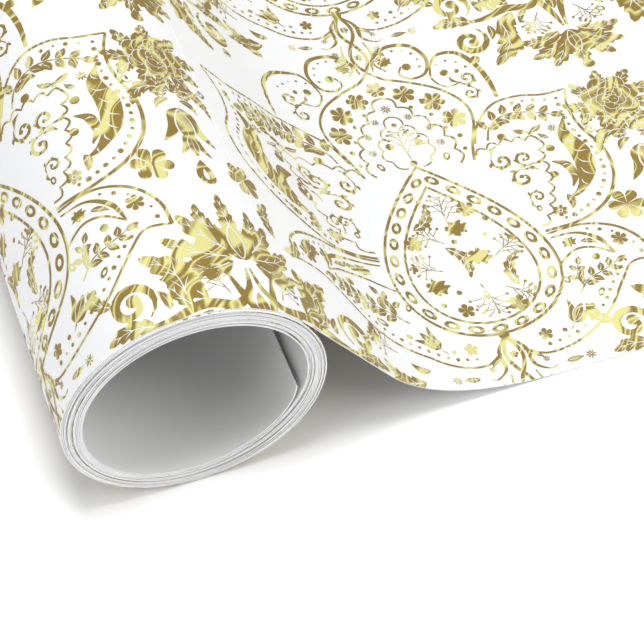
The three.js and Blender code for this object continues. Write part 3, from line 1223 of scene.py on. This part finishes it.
def copies_in_tile(shapes):
    """Every shape with its neighbours' overlaps, as a tile that repeats sees it."""
    low = np.array([-TILE_LENGTH / 2, 0.0])
    high = low + (TILE_LENGTH, TILE_WIDTH)
    kept = []
    for outline, gold in shapes:
        for i in (-1, 0, 1):
            for j in (-1, 0, 1):
                moved = outline + (i * TILE_LENGTH, j * TILE_WIDTH)
                if (moved.max(0) > low).all() and (moved.min(0) < high).all():
                    kept.append((moved, gold))
    return kept


def winding(points, outline):
    """Whether each point is inside an outline."""
    a, b = outline, np.roll(outline, -1, 0)
    px, py = points[:, :1], points[:, 1:]
    up = (a[:, 1] <= py) & (b[:, 1] > py)
    down = (a[:, 1] > py) & (b[:, 1] <= py)
    side = (b[:, 0] - a[:, 0]) * (py - a[:, 1]) - (px - a[:, 0]) * (b[:, 1] - a[:, 1])
    return ((up & (side > 0)).sum(1) - (down & (side < 0)).sum(1)) != 0


def tile_mesh(name, lines_along, lines_across):
    """The gold of one repeat, cut along straight lines where the print has to bend or end."""
    shapes = copies_in_tile(repeat())
    points, edges = [], []
    for outline, _ in shapes:
        first = len(points)
        points += [Vector(p) for p in outline]
        count = len(outline)
        edges += [(first + i, first + (i + 1) % count) for i in range(count)]
    left, right = -TILE_LENGTH / 2, TILE_LENGTH / 2
    for x in [left, right, *lines_along]:
        points += [Vector((x, -TILE_OVERHANG)), Vector((x, TILE_WIDTH + TILE_OVERHANG))]
        edges.append((len(points) - 2, len(points) - 1))
    for y in [0.0, TILE_WIDTH, *lines_across]:
        points += [Vector((left - TILE_OVERHANG, y)), Vector((right + TILE_OVERHANG, y))]
        edges.append((len(points) - 2, len(points) - 1))
    found = delaunay_2d_cdt(points, edges, [], 0, 1e-5, False)
    flat = np.array([tuple(p) for p in found[0]])
    faces = np.array(found[2])
    middle = flat[faces].mean(1)
    inside = (middle > (left, 0)).all(1) & (middle < (right, TILE_WIDTH)).all(1)
    faces, middle = faces[inside], middle[inside]
    laid = np.zeros(len(faces), bool)
    order = np.argsort(middle[:, 0])
    sorted_x = middle[order, 0]
    for outline, gold in shapes:
        low, high = outline.min(0), outline.max(0)
        near = order[np.searchsorted(sorted_x, low[0]) : np.searchsorted(sorted_x, high[0])]
        near = near[(middle[near, 1] > low[1]) & (middle[near, 1] < high[1])]
        if len(near):
            laid[near[winding(middle[near], outline)]] = gold
    faces = faces[laid]
    corners = flat[faces]
    area = np.cross(corners[:, 1] - corners[:, 0], corners[:, 2] - corners[:, 0])
    faces[area < 0] = faces[area < 0][:, ::-1]
    faces = faces[np.abs(area) > SLIVER]
    used, index = np.unique(faces, return_inverse=True)
    mesh = bpy.data.meshes.new(name)
    flat = np.column_stack([flat[used], np.zeros(len(used))]) * MM
    mesh.from_pydata(flat, [], index.reshape(-1, 3))
    mesh.polygons.foreach_set("use_smooth", np.ones(len(mesh.polygons), bool))
    tile = bpy.data.objects.new(name, mesh)
    bpy.context.scene.collection.objects.link(tile)
    tile.hide_render = True
    return tile


# ---- Finishes ----
def material(name):
    """A new material, its node tree and its shader."""
    made = bpy.data.materials.new(name)
    made.use_nodes = True
    g = Graph(made.node_tree)
    shader = made.node_tree.nodes["Principled BSDF"]
    return made, g, shader


def object_place(g):
    """Coordinates in the part's own frame, which is every piece's own frame too."""
    return g.add("ShaderNodeTexCoord").outputs["Object"]


def bump(g, shader, height, strength, distance):
    """Gives the shader a fine relief."""
    node = g.add("ShaderNodeBump", {"Height": height, "Strength": strength, "Distance": distance})
    g.tree.links.new(node.outputs[0], shader.inputs["Normal"])


def paper_material(name, color, roughness, grain=1.0, coat=0.0):
    """Bleached paper: faint cloudy formation, fine fibres in the bump, a satin or matt surface."""
    made, g, shader = material(name)
    place = object_place(g)
    cloud = g.add("ShaderNodeTexNoise", {"Vector": place, "Scale": 160.0, "Detail": 3.0}).outputs[0]
    drawn = g.vector("MULTIPLY", place, (1.0, 0.35, 1.0))
    fibre = g.add(
        "ShaderNodeTexNoise", {"Vector": drawn, "Scale": 2600.0, "Detail": 4.0, "Roughness": 0.65}
    ).outputs[0]
    tone = g.math("MULTIPLY_ADD", g.math("SUBTRACT", cloud, 0.5), 0.035, g.math("MULTIPLY", fibre, 0.02))
    low = tuple(max(c - 0.03, 0) for c in color)
    shade = g.ramp(g.math("ADD", tone, 0.5), ((0.42, low), (0.56, color)))
    g.tree.links.new(shade, shader.inputs["Base Color"])
    rough = g.math("MULTIPLY_ADD", cloud, 0.12, roughness - 0.06)
    g.tree.links.new(rough, shader.inputs["Roughness"])
    shader.inputs["Specular IOR Level"].default_value = 0.4
    shader.inputs["Coat Weight"].default_value = coat
    shader.inputs["Coat Roughness"].default_value = 0.35
    bump(g, shader, fibre, 0.12 * grain, 0.00004)
    return made


def cut_edge_material(name, color):
    """The guillotined edges of the paper: matt, with a faint change from place to place."""
    made, g, shader = material(name)
    place = object_place(g)
    grain = g.add("ShaderNodeTexNoise", {"Vector": place, "Scale": 900.0, "Detail": 3.0}).outputs[0]
    broad = g.add("ShaderNodeTexNoise", {"Vector": place, "Scale": 90.0, "Detail": 1.0}).outputs[0]
    low = tuple(c * 0.88 for c in color)
    shade = g.ramp(
        g.math("MULTIPLY_ADD", grain, 0.5, g.math("MULTIPLY", broad, 0.5)), ((0.3, low), (0.7, color))
    )
    g.tree.links.new(shade, shader.inputs["Base Color"])
    g.tree.links.new(g.math("MULTIPLY_ADD", grain, 0.2, 0.65), shader.inputs["Roughness"])
    bump(g, shader, grain, 0.3, 0.00005)
    return made


def gold_material(name, dark, light):
    """Printed gold: bands of pale and deep gold that run across each shape, under a satin gloss. The bands
    are painted reflection, laid into the colour where the foil's mirrored light would show.
    """
    made, g, shader = material(name)
    flat = g.add("ShaderNodeAttribute", attribute_name="flat").outputs["Vector"]
    turn = g.add(
        "ShaderNodeVectorRotate", {"Vector": flat, "Angle": math.radians(38)}, rotation_type="Z_AXIS"
    ).outputs[0]
    warp = g.add(
        "ShaderNodeTexNoise", {"Vector": flat, "Scale": 70.0, "Detail": 1.0}, noise_dimensions="2D"
    )
    bent = g.vector("ADD", turn, g.vector("SCALE", warp.outputs["Color"], scale=0.012))
    across = g.vector("MULTIPLY", bent, (1.0, 0.3, 0.0))
    # Painted reflection: these bands make the gold lighter and darker across each shape, in place of the
    # foil's own reflections.
    bands = g.add(
        "ShaderNodeTexNoise", {"Vector": across, "Scale": 270.0, "Detail": 1.0}, noise_dimensions="2D"
    ).outputs[0]
    streak = g.vector("MULTIPLY", bent, (1.0, 0.06, 0.0))
    fine = g.add(
        "ShaderNodeTexNoise", {"Vector": streak, "Scale": 1300.0, "Detail": 1.0}, noise_dimensions="2D"
    ).outputs[0]
    tone = g.math("MULTIPLY_ADD", g.math("SUBTRACT", fine, 0.5), 0.07, bands)
    middle = tuple(0.6 * a + 0.4 * b for a, b in zip(dark, light))
    stops = (
        (0.32, light),
        (0.38, middle),
        (0.41, dark),
        (0.48, dark),
        (0.54, light),
        (0.58, middle),
        (0.64, dark),
    )
    shade = g.ramp(tone, stops, "EASE")
    g.tree.links.new(shade, shader.inputs["Base Color"])
    shader.inputs["Metallic"].default_value = 0.25
    shader.inputs["Specular IOR Level"].default_value = 0.25
    g.tree.links.new(g.math("MULTIPLY_ADD", bands, 0.2, 0.4), shader.inputs["Roughness"])
    return made


def floor_material(name, color):
    """Plain pale floor with hardly any change in tone."""
    made, g, shader = material(name)
    place = object_place(g)
    cloud = g.add("ShaderNodeTexNoise", {"Vector": place, "Scale": 2.0, "Detail": 2.0}).outputs[0]
    low = tuple(c * 0.99 for c in color)
    g.tree.links.new(g.ramp(cloud, ((0.4, low), (0.6, color))), shader.inputs["Base Color"])
    shader.inputs["Roughness"].default_value = 0.9
    shader.inputs["Specular IOR Level"].default_value = 0.1
    return made


def finish_of(name, maker, *values, **more):
    """The finish of this name, made the first time it is asked for."""
    return bpy.data.materials.get(name) or maker(name, *values, **more)


def finishes(sizes):
    """The four finishes of the paper and its print."""
    white = tuple(sizes.paper_color)
    back = tuple(sizes.back_color)
    return {
        "Face": finish_of("printed_face", paper_material, white, 0.42, coat=0.12),
        "Back": finish_of("paper_back", paper_material, back, 0.72, grain=1.6),
        # The cut edges' colour carries painted light that brightens the roll's end face.
        "Cut Edge": finish_of("cut_edge", cut_edge_material, tuple(sizes.edge_color_with_painted_light)),
        # The gold's two colours hold painted reflection bands as well as the print's gold.
        "Gold": finish_of("gold_print", gold_material, tuple(sizes.deep_gold_painted_reflection), tuple(sizes.pale_gold_painted_reflection)),
    }


# ---- Pieces ----
TREES = {}
TILES = {}
ALL_ACROSS = (-SHEET_WIDTH / 2, SHEET_WIDTH / 2)
PRINT_LIFT = 0.045 * MM  # more than the bow between two lines at which the print bends
SLIP_SHOWN = 8 * MM  # how much of an inner turn's print can come into view at each end
PRINT_STRIPS = 4  # the print round the coil is made in this many strips across the paper
FLOOR_GAP = 0.1 * MM  # the floor lies just below the lowest print
JOIN_MARGIN = 6 * MM  # the drawn-off stretch ends this far before the first fold's room
INNER_TURN_END = 170.0  # where the innermost turn hands over to the loose inner end


def trees():
    """The node trees, built once."""
    if not TREES:
        TREES["shared"] = on_line_tree()
        TREES["sheet"] = sheet_tree(TREES["shared"])
        TREES["print"] = print_tree(TREES["shared"])
    return TREES


def lay_out_uv(mesh, start, end):
    """Unfolds a piece into one map: face on the left, back on the right, cut edges in thin rows above."""
    flat = np.zeros(len(mesh.vertices) * 3)
    mesh.attributes["flat"].data.foreach_get("vector", flat)
    loops = np.zeros(len(mesh.loops), int)
    mesh.loops.foreach_get("vertex_index", loops)
    flat = flat.reshape(-1, 3)[loops]
    s = np.clip((flat[:, 0] - start) / (end - start), 0, 1)
    y = np.clip(flat[:, 1] / SHEET_WIDTH + 0.5, 0, 1)
    if "layer" in mesh.attributes:
        layer = np.zeros(len(mesh.polygons), int)
        mesh.attributes["layer"].data.foreach_get("value", layer)
        totals = np.zeros(len(mesh.polygons), int)
        mesh.polygons.foreach_get("loop_total", totals)
        layer = np.repeat(layer, totals)
        across = np.repeat(np.add.reduceat(s, np.append(0, np.cumsum(totals)[:-1])) / totals, totals)
        ends = (across < 1e-6) | (across > 1 - 1e-6)
        rise = (flat[:, 2] + 0.5) * 0.004
        strip = np.where(ends, 0.99 + 0.005 * (across > 0.5), 0.98 + 0.005 * (y > 0.5))
        u = np.select(
            [layer == 2, layer == 0], [0.005 + 0.485 * s, 0.51 + 0.485 * s], np.where(ends, y, s)
        )
        v = np.where(layer == 1, strip + rise, 0.975 * y)
    else:
        u, v = s, y
    layout = mesh.uv_layers.new(name="OFBake")
    layout.data.foreach_set("uv", np.column_stack([u, v]).ravel())


def sheet_piece(name, start, end, finish, wound, bands=24, ripple=0.0):
    """One stretch of paper between two distances along the line."""
    piece = made_mesh(
        name,
        trees()["sheet"],
        {
            "Paper Line": line_object(),
            "From": start,
            "To": end,
            "Width": SHEET_WIDTH,
            "Thickness": WOUND if wound else SHEET,
            "Sink": (WOUND - SHEET) / 2 if wound else 0.0,
            "Step": SHEET_STEP,
            "Bands": bands,
            "Ripple": ripple,
            "Face": finish["Face"],
            "Back": finish["Back"],
            "Cut Edge": finish["Cut Edge"],
        },
    )
    lay_out_uv(piece.data, start, end)
    return piece


def print_piece(name, start, end, finish, across=ALL_ACROSS, bare=(0.0, 0.0), ripple=0.0):
    """The gold on one stretch of the face."""
    low = math.floor((start - DROP_LINE) / REPEAT_LENGTH + 0.5)
    high = math.floor((end - DROP_LINE) / REPEAT_LENGTH + 0.5)
    piece = made_mesh(
        name,
        trees()["print"],
        {
            "Paper Line": line_object(),
            "Repeat": TILES["repeat"],
            "Repeats Along": high - low + 1,
            "Repeats Across": math.ceil(SHEET_WIDTH / REPEAT_WIDTH),
            "Repeat Length": REPEAT_LENGTH,
            "Repeat Width": REPEAT_WIDTH,
            "First Along": DROP_LINE + low * REPEAT_LENGTH,
            "First Across": ALL_ACROSS[0],
            "From": start,
            "To": end,
            "Across From": across[0],
            "Across To": across[1],
            "Bare From": bare[0],
            "Bare To": bare[1],
            "Lift": SHEET / 2 + PRINT_LIFT,
            "Ripple": ripple,
            "Gold": finish["Gold"],
        },
    )
    lay_out_uv(piece.data, start, end)
    return piece


def stretch_ends():
    """Distances along the line at which the pieces of the free sheet meet."""
    lift = [along_x(x) for x in LIFT_LINES]
    half = (lift[1] - lift[0]) / 2
    return [0.0, lift[0] - 0.7 * half - JOIN_MARGIN, lift[0] + half, lift[1] + half, float(ALONG[-1])]


def make_tile():
    """The repeat, cut along close lines so that it can bend, and where a piece of paper ends."""
    half = TILE_LENGTH / 2
    ends = [(s - DROP_LINE) / MM for s in (*stretch_ends(), seam(1))]
    ends = [(s + half) % TILE_LENGTH - half for s in ends]
    edge = (SHEET_WIDTH / MM) % TILE_WIDTH
    step = TILE_LENGTH / PRINT_LINES
    bends = [-half + step * i for i in range(1, PRINT_LINES)]
    TILES["repeat"] = tile_mesh("repeat", [*bends, *ends], [edge])


def seam(turn):
    """Distance along the line where a whole number of turns has gone by."""
    return along_angle(LEAVE_ANGLE - 360 * turn)


def inner_angle(angle):
    """Distance along the line at an angle on the innermost turn, degrees clockwise from the top."""
    return along_angle(angle - 360 * TURNS)


FIRST_OF_PAIR = range(2, TURNS, 2)


def wound_pair(first):
    """Where a pair of turns starts, half a turn on, and where it ends."""
    last = inner_angle(INNER_TURN_END) if first == FIRST_OF_PAIR[-1] else seam(first + 1)
    return seam(first - 1), along_angle(LEAVE_ANGLE - 360 * (first - 1) - 180), last


# ---- What a user can change ----
def length(name, description, default):
    return FloatProperty(
        name=name, description=description, default=default, min=0.0, unit="LENGTH", precision=5
    )


def color(name, description, default):
    return FloatVectorProperty(
        name=name, description=description, default=default, size=3, subtype="COLOR", min=0.0, max=1.0
    )


def power(name, description, default):
    return FloatProperty(name=name, description=description, default=default, min=0.0, unit="POWER")


def degrees(name, description, default):
    return FloatProperty(name=name, description=description + ", in degrees", default=default)


class PaperSizes(bpy.types.PropertyGroup):
    """Sizes and colours of the paper and its print."""

    ripple: length("Ripple", "How far the free sheet swells off its line", 0.00012)
    bands: IntProperty(
        name="Bands", description="Faces across the width of a sheet", default=24, min=4, max=200
    )
    paper_color: color("Face Colour", "Bleached face of the paper", (0.865, 0.87, 0.88))
    back_color: color("Back Colour", "Uncoated back of the paper", (0.74, 0.74, 0.735))
    # Partly the cut paper's white and partly painted light: set lighter than the face so that the roll's
    # end face reads brighter.
    edge_color_with_painted_light: color("Edge Colour", "Cut edges of the paper", (0.96, 0.965, 0.965))
    # The deep and pale gold are the print's gold with painted reflection: their dark and light bands stand
    # in for the foil's mirrored light.
    deep_gold_painted_reflection: color("Deep Gold", "Darker bands of the print", (0.31, 0.215, 0.052))
    pale_gold_painted_reflection: color("Pale Gold", "Lighter bands of the print", (0.82, 0.78, 0.3))


class StageSizes(bpy.types.PropertyGroup):
    """Floor, lights and camera."""

    floor_color: color("Floor Colour", "Plain pale floor", (0.97, 0.97, 0.97))
    floor_size: length("Floor Size", "Side of the floor", 12.0)
    world: FloatProperty(
        name="World", description="Strength of the light from all round", default=0.2, min=0.0
    )
    key: power("Key", "Power of the soft light overhead", 37.0)
    fill: power("Fill", "Power of the light from the right front", 20.5)
    side: power("Side", "Power of the light from the left", 11.0)
    azimuth: degrees("Azimuth", "Where the camera stands round the roll", -20.998)
    elevation: degrees("Elevation", "How far the camera looks down", 52.304)
    roll: degrees("Roll", "Tilt of the camera about its own line of sight", 1.2545)
    distance: length("Distance", "From the camera to the point it looks at", 0.34775)
    lens: FloatProperty(name="Lens", description="Focal length on a 36 mm sensor, in mm", default=111.06)


# ---- Operators ----
class WRAP_OT_coil(bpy.types.Operator):
    """Winds the outer turn, the twelve turns inside it and the loose inner end"""

    bl_idname = "wrap.coil"
    bl_label = "Wound Turns"

    def execute(self, context):
        sizes = context.scene.wrap_paper
        finish = finishes(sizes)
        outer = sheet_piece("coil_outer_turn", seam(1), 0.0, finish, True, sizes.bands)
        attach(outer, "outer_turn")
        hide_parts("turn_01")
        for first in FIRST_OF_PAIR:
            body = f"turns_{first:02d}_{first + 1:02d}"
            start, middle, last = wound_pair(first)
            step = sheet_piece(f"coil_step_{first:02d}", middle, start, finish, True, sizes.bands)
            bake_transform(step)
            pair = sheet_piece(f"coil_{body}", last, middle, finish, True, sizes.bands)
            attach(pair, body)
            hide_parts(f"turn_{first:02d}", f"turn_{first + 1:02d}")
        inner = sheet_piece(
            "coil_inner_end", float(ALONG[0]), inner_angle(INNER_TURN_END), finish, True, sizes.bands
        )
        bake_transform(inner)
        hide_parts("inner_tail")
        return {"FINISHED"}


# The free sheet's pieces: name, body before, body after and the nodes of the model that each stands for.
FREE = (
    ("sheet_lead_off", "lead_off", "flat_sheet", ("lead_off_curve", "flat_run")),
    ("sheet_edge_1", "flat_sheet", "edge_1", ("edge_panel_1",)),
    ("sheet_edge_2", "edge_1", "edge_2", ("edge_panel_2",)),
    ("sheet_edge_3", "edge_2", "edge_3", ("leading_edge",)),
)


def blend_free(piece):
    """Fixes a stretch of the free sheet where it is made, with its placement baked into the mesh."""
    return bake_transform(piece)


class WRAP_OT_free_sheet(bpy.types.Operator):
    """Lays out the lead-off, the flat run and the leading edge"""

    bl_idname = "wrap.free_sheet"
    bl_label = "Free Sheet"

    def execute(self, context):
        sizes = context.scene.wrap_paper
        finish = finishes(sizes)
        ends = stretch_ends()
        for index, (name, _, _, nodes) in enumerate(FREE):
            piece = sheet_piece(
                name, ends[index], ends[index + 1], finish, False, 2 * sizes.bands, sizes.ripple
            )
            blend_free(piece)
            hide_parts(*nodes)
        return {"FINISHED"}


class WRAP_OT_print(bpy.types.Operator):
    """Prints the gold ornament on the outer turn, the free sheet and the ends of the inner turns"""

    bl_idname = "wrap.print"
    bl_label = "Gold Print"

    def execute(self, context):
        sizes = context.scene.wrap_paper
        finish = finishes(sizes)
        make_tile()
        ends = stretch_ends()
        borders = np.linspace(*ALL_ACROSS, PRINT_STRIPS + 1).tolist()
        for number, across in enumerate(zip(borders, borders[1:]), 1):
            piece = print_piece(f"print_outer_turn_{number}", seam(1), 0.0, finish, across)
            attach(piece, "outer_turn")
            piece = print_piece(
                f"print_lead_off_{number}", ends[0], ends[1], finish, across, ripple=sizes.ripple
            )
            blend_free(piece)
        ends_only = (ALL_ACROSS[0] + SLIP_SHOWN, ALL_ACROSS[1] - SLIP_SHOWN)
        for first in FIRST_OF_PAIR:
            body = f"turns_{first:02d}_{first + 1:02d}"
            start, middle, _ = wound_pair(first)
            piece = print_piece(f"print_step_{first:02d}", middle, start, finish, bare=ends_only)
            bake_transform(piece)
            piece = print_piece(f"print_turn_{first:02d}", seam(first), middle, finish, bare=ends_only)
            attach(piece, body)
        for index in (1, 2, 3):
            piece = print_piece(
                f"print_edge_{index}", ends[index], ends[index + 1], finish, ripple=sizes.ripple
            )
            blend_free(piece)
        bpy.data.objects.remove(TILES.pop("repeat"))
        return {"FINISHED"}


def area_light(name, away, size, power):
    """A square soft box this far away from the near mouth of the roll, and facing it."""
    light = bpy.data.lights.new(name, "AREA")
    light.size = size
    light.energy = power
    lamp = bpy.data.objects.new(name, light)
    lamp.location = Vector((AXIS.x, -SHEET_WIDTH / 2, AXIS.z)) + Vector(away)
    lamp.rotation_euler = Vector(away).to_track_quat("Z", "Y").to_euler()
    bpy.context.scene.collection.objects.link(lamp)


CAMERA_TARGET = (23.607 * MM, 0, 38.005 * MM)  # from below the axis at the near mouth
SENSOR_WIDTH = 36


class WRAP_OT_stage(bpy.types.Operator):
    """Sets the floor, the soft lights and the camera"""

    bl_idname = "wrap.stage"
    bl_label = "Stage"

    def execute(self, context):
        stage = context.scene.wrap_stage
        half = stage.floor_size / 2
        mesh = bpy.data.meshes.new("floor")
        corners = [(x * half, y * half, -FLOOR_GAP) for x, y in ((-1, -1), (1, -1), (1, 1), (-1, 1))]
        mesh.from_pydata(corners, [], [(0, 1, 2, 3)])
        floor = bpy.data.objects.new("floor", mesh)
        context.scene.collection.objects.link(floor)
        mesh.materials.append(finish_of("floor", floor_material, tuple(stage.floor_color)))
        world = bpy.data.worlds.new("studio")
        world.use_nodes = True
        world.node_tree.nodes["Background"].inputs[0].default_value = (1, 1, 1, 1)
        world.node_tree.nodes["Background"].inputs[1].default_value = stage.world
        context.scene.world = world
        area_light("key", (0.04, 0.115, 2.35), 0.7, stage.key)
        area_light("fill", (1.24, -0.86, 1.39), 1.3, stage.fill)
        area_light("side", (-1.76, -0.26, 1.15), 1.0, stage.side)
        context.scene.view_settings.view_transform = "Standard"
        context.scene.view_settings.look = "None"
        self.camera(context, stage)
        return {"FINISHED"}

    def camera(self, context, stage):
        """Stands the camera away from the point it looks at, tilted about its line of sight."""
        azimuth, elevation, roll = (math.radians(a) for a in (stage.azimuth, stage.elevation, stage.roll))
        level = math.cos(elevation)
        away = Vector((math.sin(azimuth) * level, -math.cos(azimuth) * level, math.sin(elevation)))
        target = Vector((AXIS.x, -SHEET_WIDTH / 2, 0)) + Vector(CAMERA_TARGET)
        right = (-away).cross(Vector((0, 0, 1))).normalized()
        up = away.cross(right)
        across = right * math.cos(roll) + up * math.sin(roll)
        upward = up * math.cos(roll) - right * math.sin(roll)
        data = bpy.data.cameras.new("camera")
        data.sensor_width = SENSOR_WIDTH
        data.lens = stage.lens
        data.clip_start = 0.01
        data.clip_end = 50
        camera = bpy.data.objects.new("camera", data)
        turn = Matrix((across, upward, away)).transposed().to_4x4()
        camera.matrix_world = Matrix.Translation(target + away * stage.distance) @ turn
        context.scene.collection.objects.link(camera)
        context.scene.camera = camera


class WRAP_PT_panel(bpy.types.Panel):
    """The roll's pieces, sizes and colours"""

    bl_idname = "WRAP_PT_panel"
    bl_label = "Wrapping Paper Roll"
    bl_space_type = "VIEW_3D"
    bl_region_type = "UI"
    bl_category = "Wrapping Paper"

    def draw(self, context):
        layout = self.layout
        for group, operators in (
            (context.scene.wrap_paper, ("wrap.coil", "wrap.free_sheet", "wrap.print")),
            (context.scene.wrap_stage, ("wrap.stage",)),
        ):
            box = layout.box()
            for name in group.__annotations__:
                box.prop(group, name)
            for operator in operators:
                box.operator(operator)


OPERATORS = (WRAP_OT_coil, WRAP_OT_free_sheet, WRAP_OT_print, WRAP_OT_stage)
CLASSES = (PaperSizes, StageSizes, *OPERATORS, WRAP_PT_panel)


def register():
    """Adds the classes and the two groups of sizes to Blender."""
    for cls in CLASSES:
        bpy.utils.register_class(cls)
    bpy.types.Scene.wrap_paper = PointerProperty(type=PaperSizes)
    bpy.types.Scene.wrap_stage = PointerProperty(type=StageSizes)


def unregister():
    """Takes away what register added."""
    del bpy.types.Scene.wrap_stage
    del bpy.types.Scene.wrap_paper
    for cls in reversed(CLASSES):
        bpy.utils.unregister_class(cls)


def main():
    """Builds the whole scene, one operator after another."""
    register()
    bpy.ops.wrap.coil()
    bpy.ops.wrap.free_sheet()
    bpy.ops.wrap.print()
    bpy.data.objects.remove(line_object())
    bpy.ops.wrap.stage()


if __name__ == "__main__":
    main()
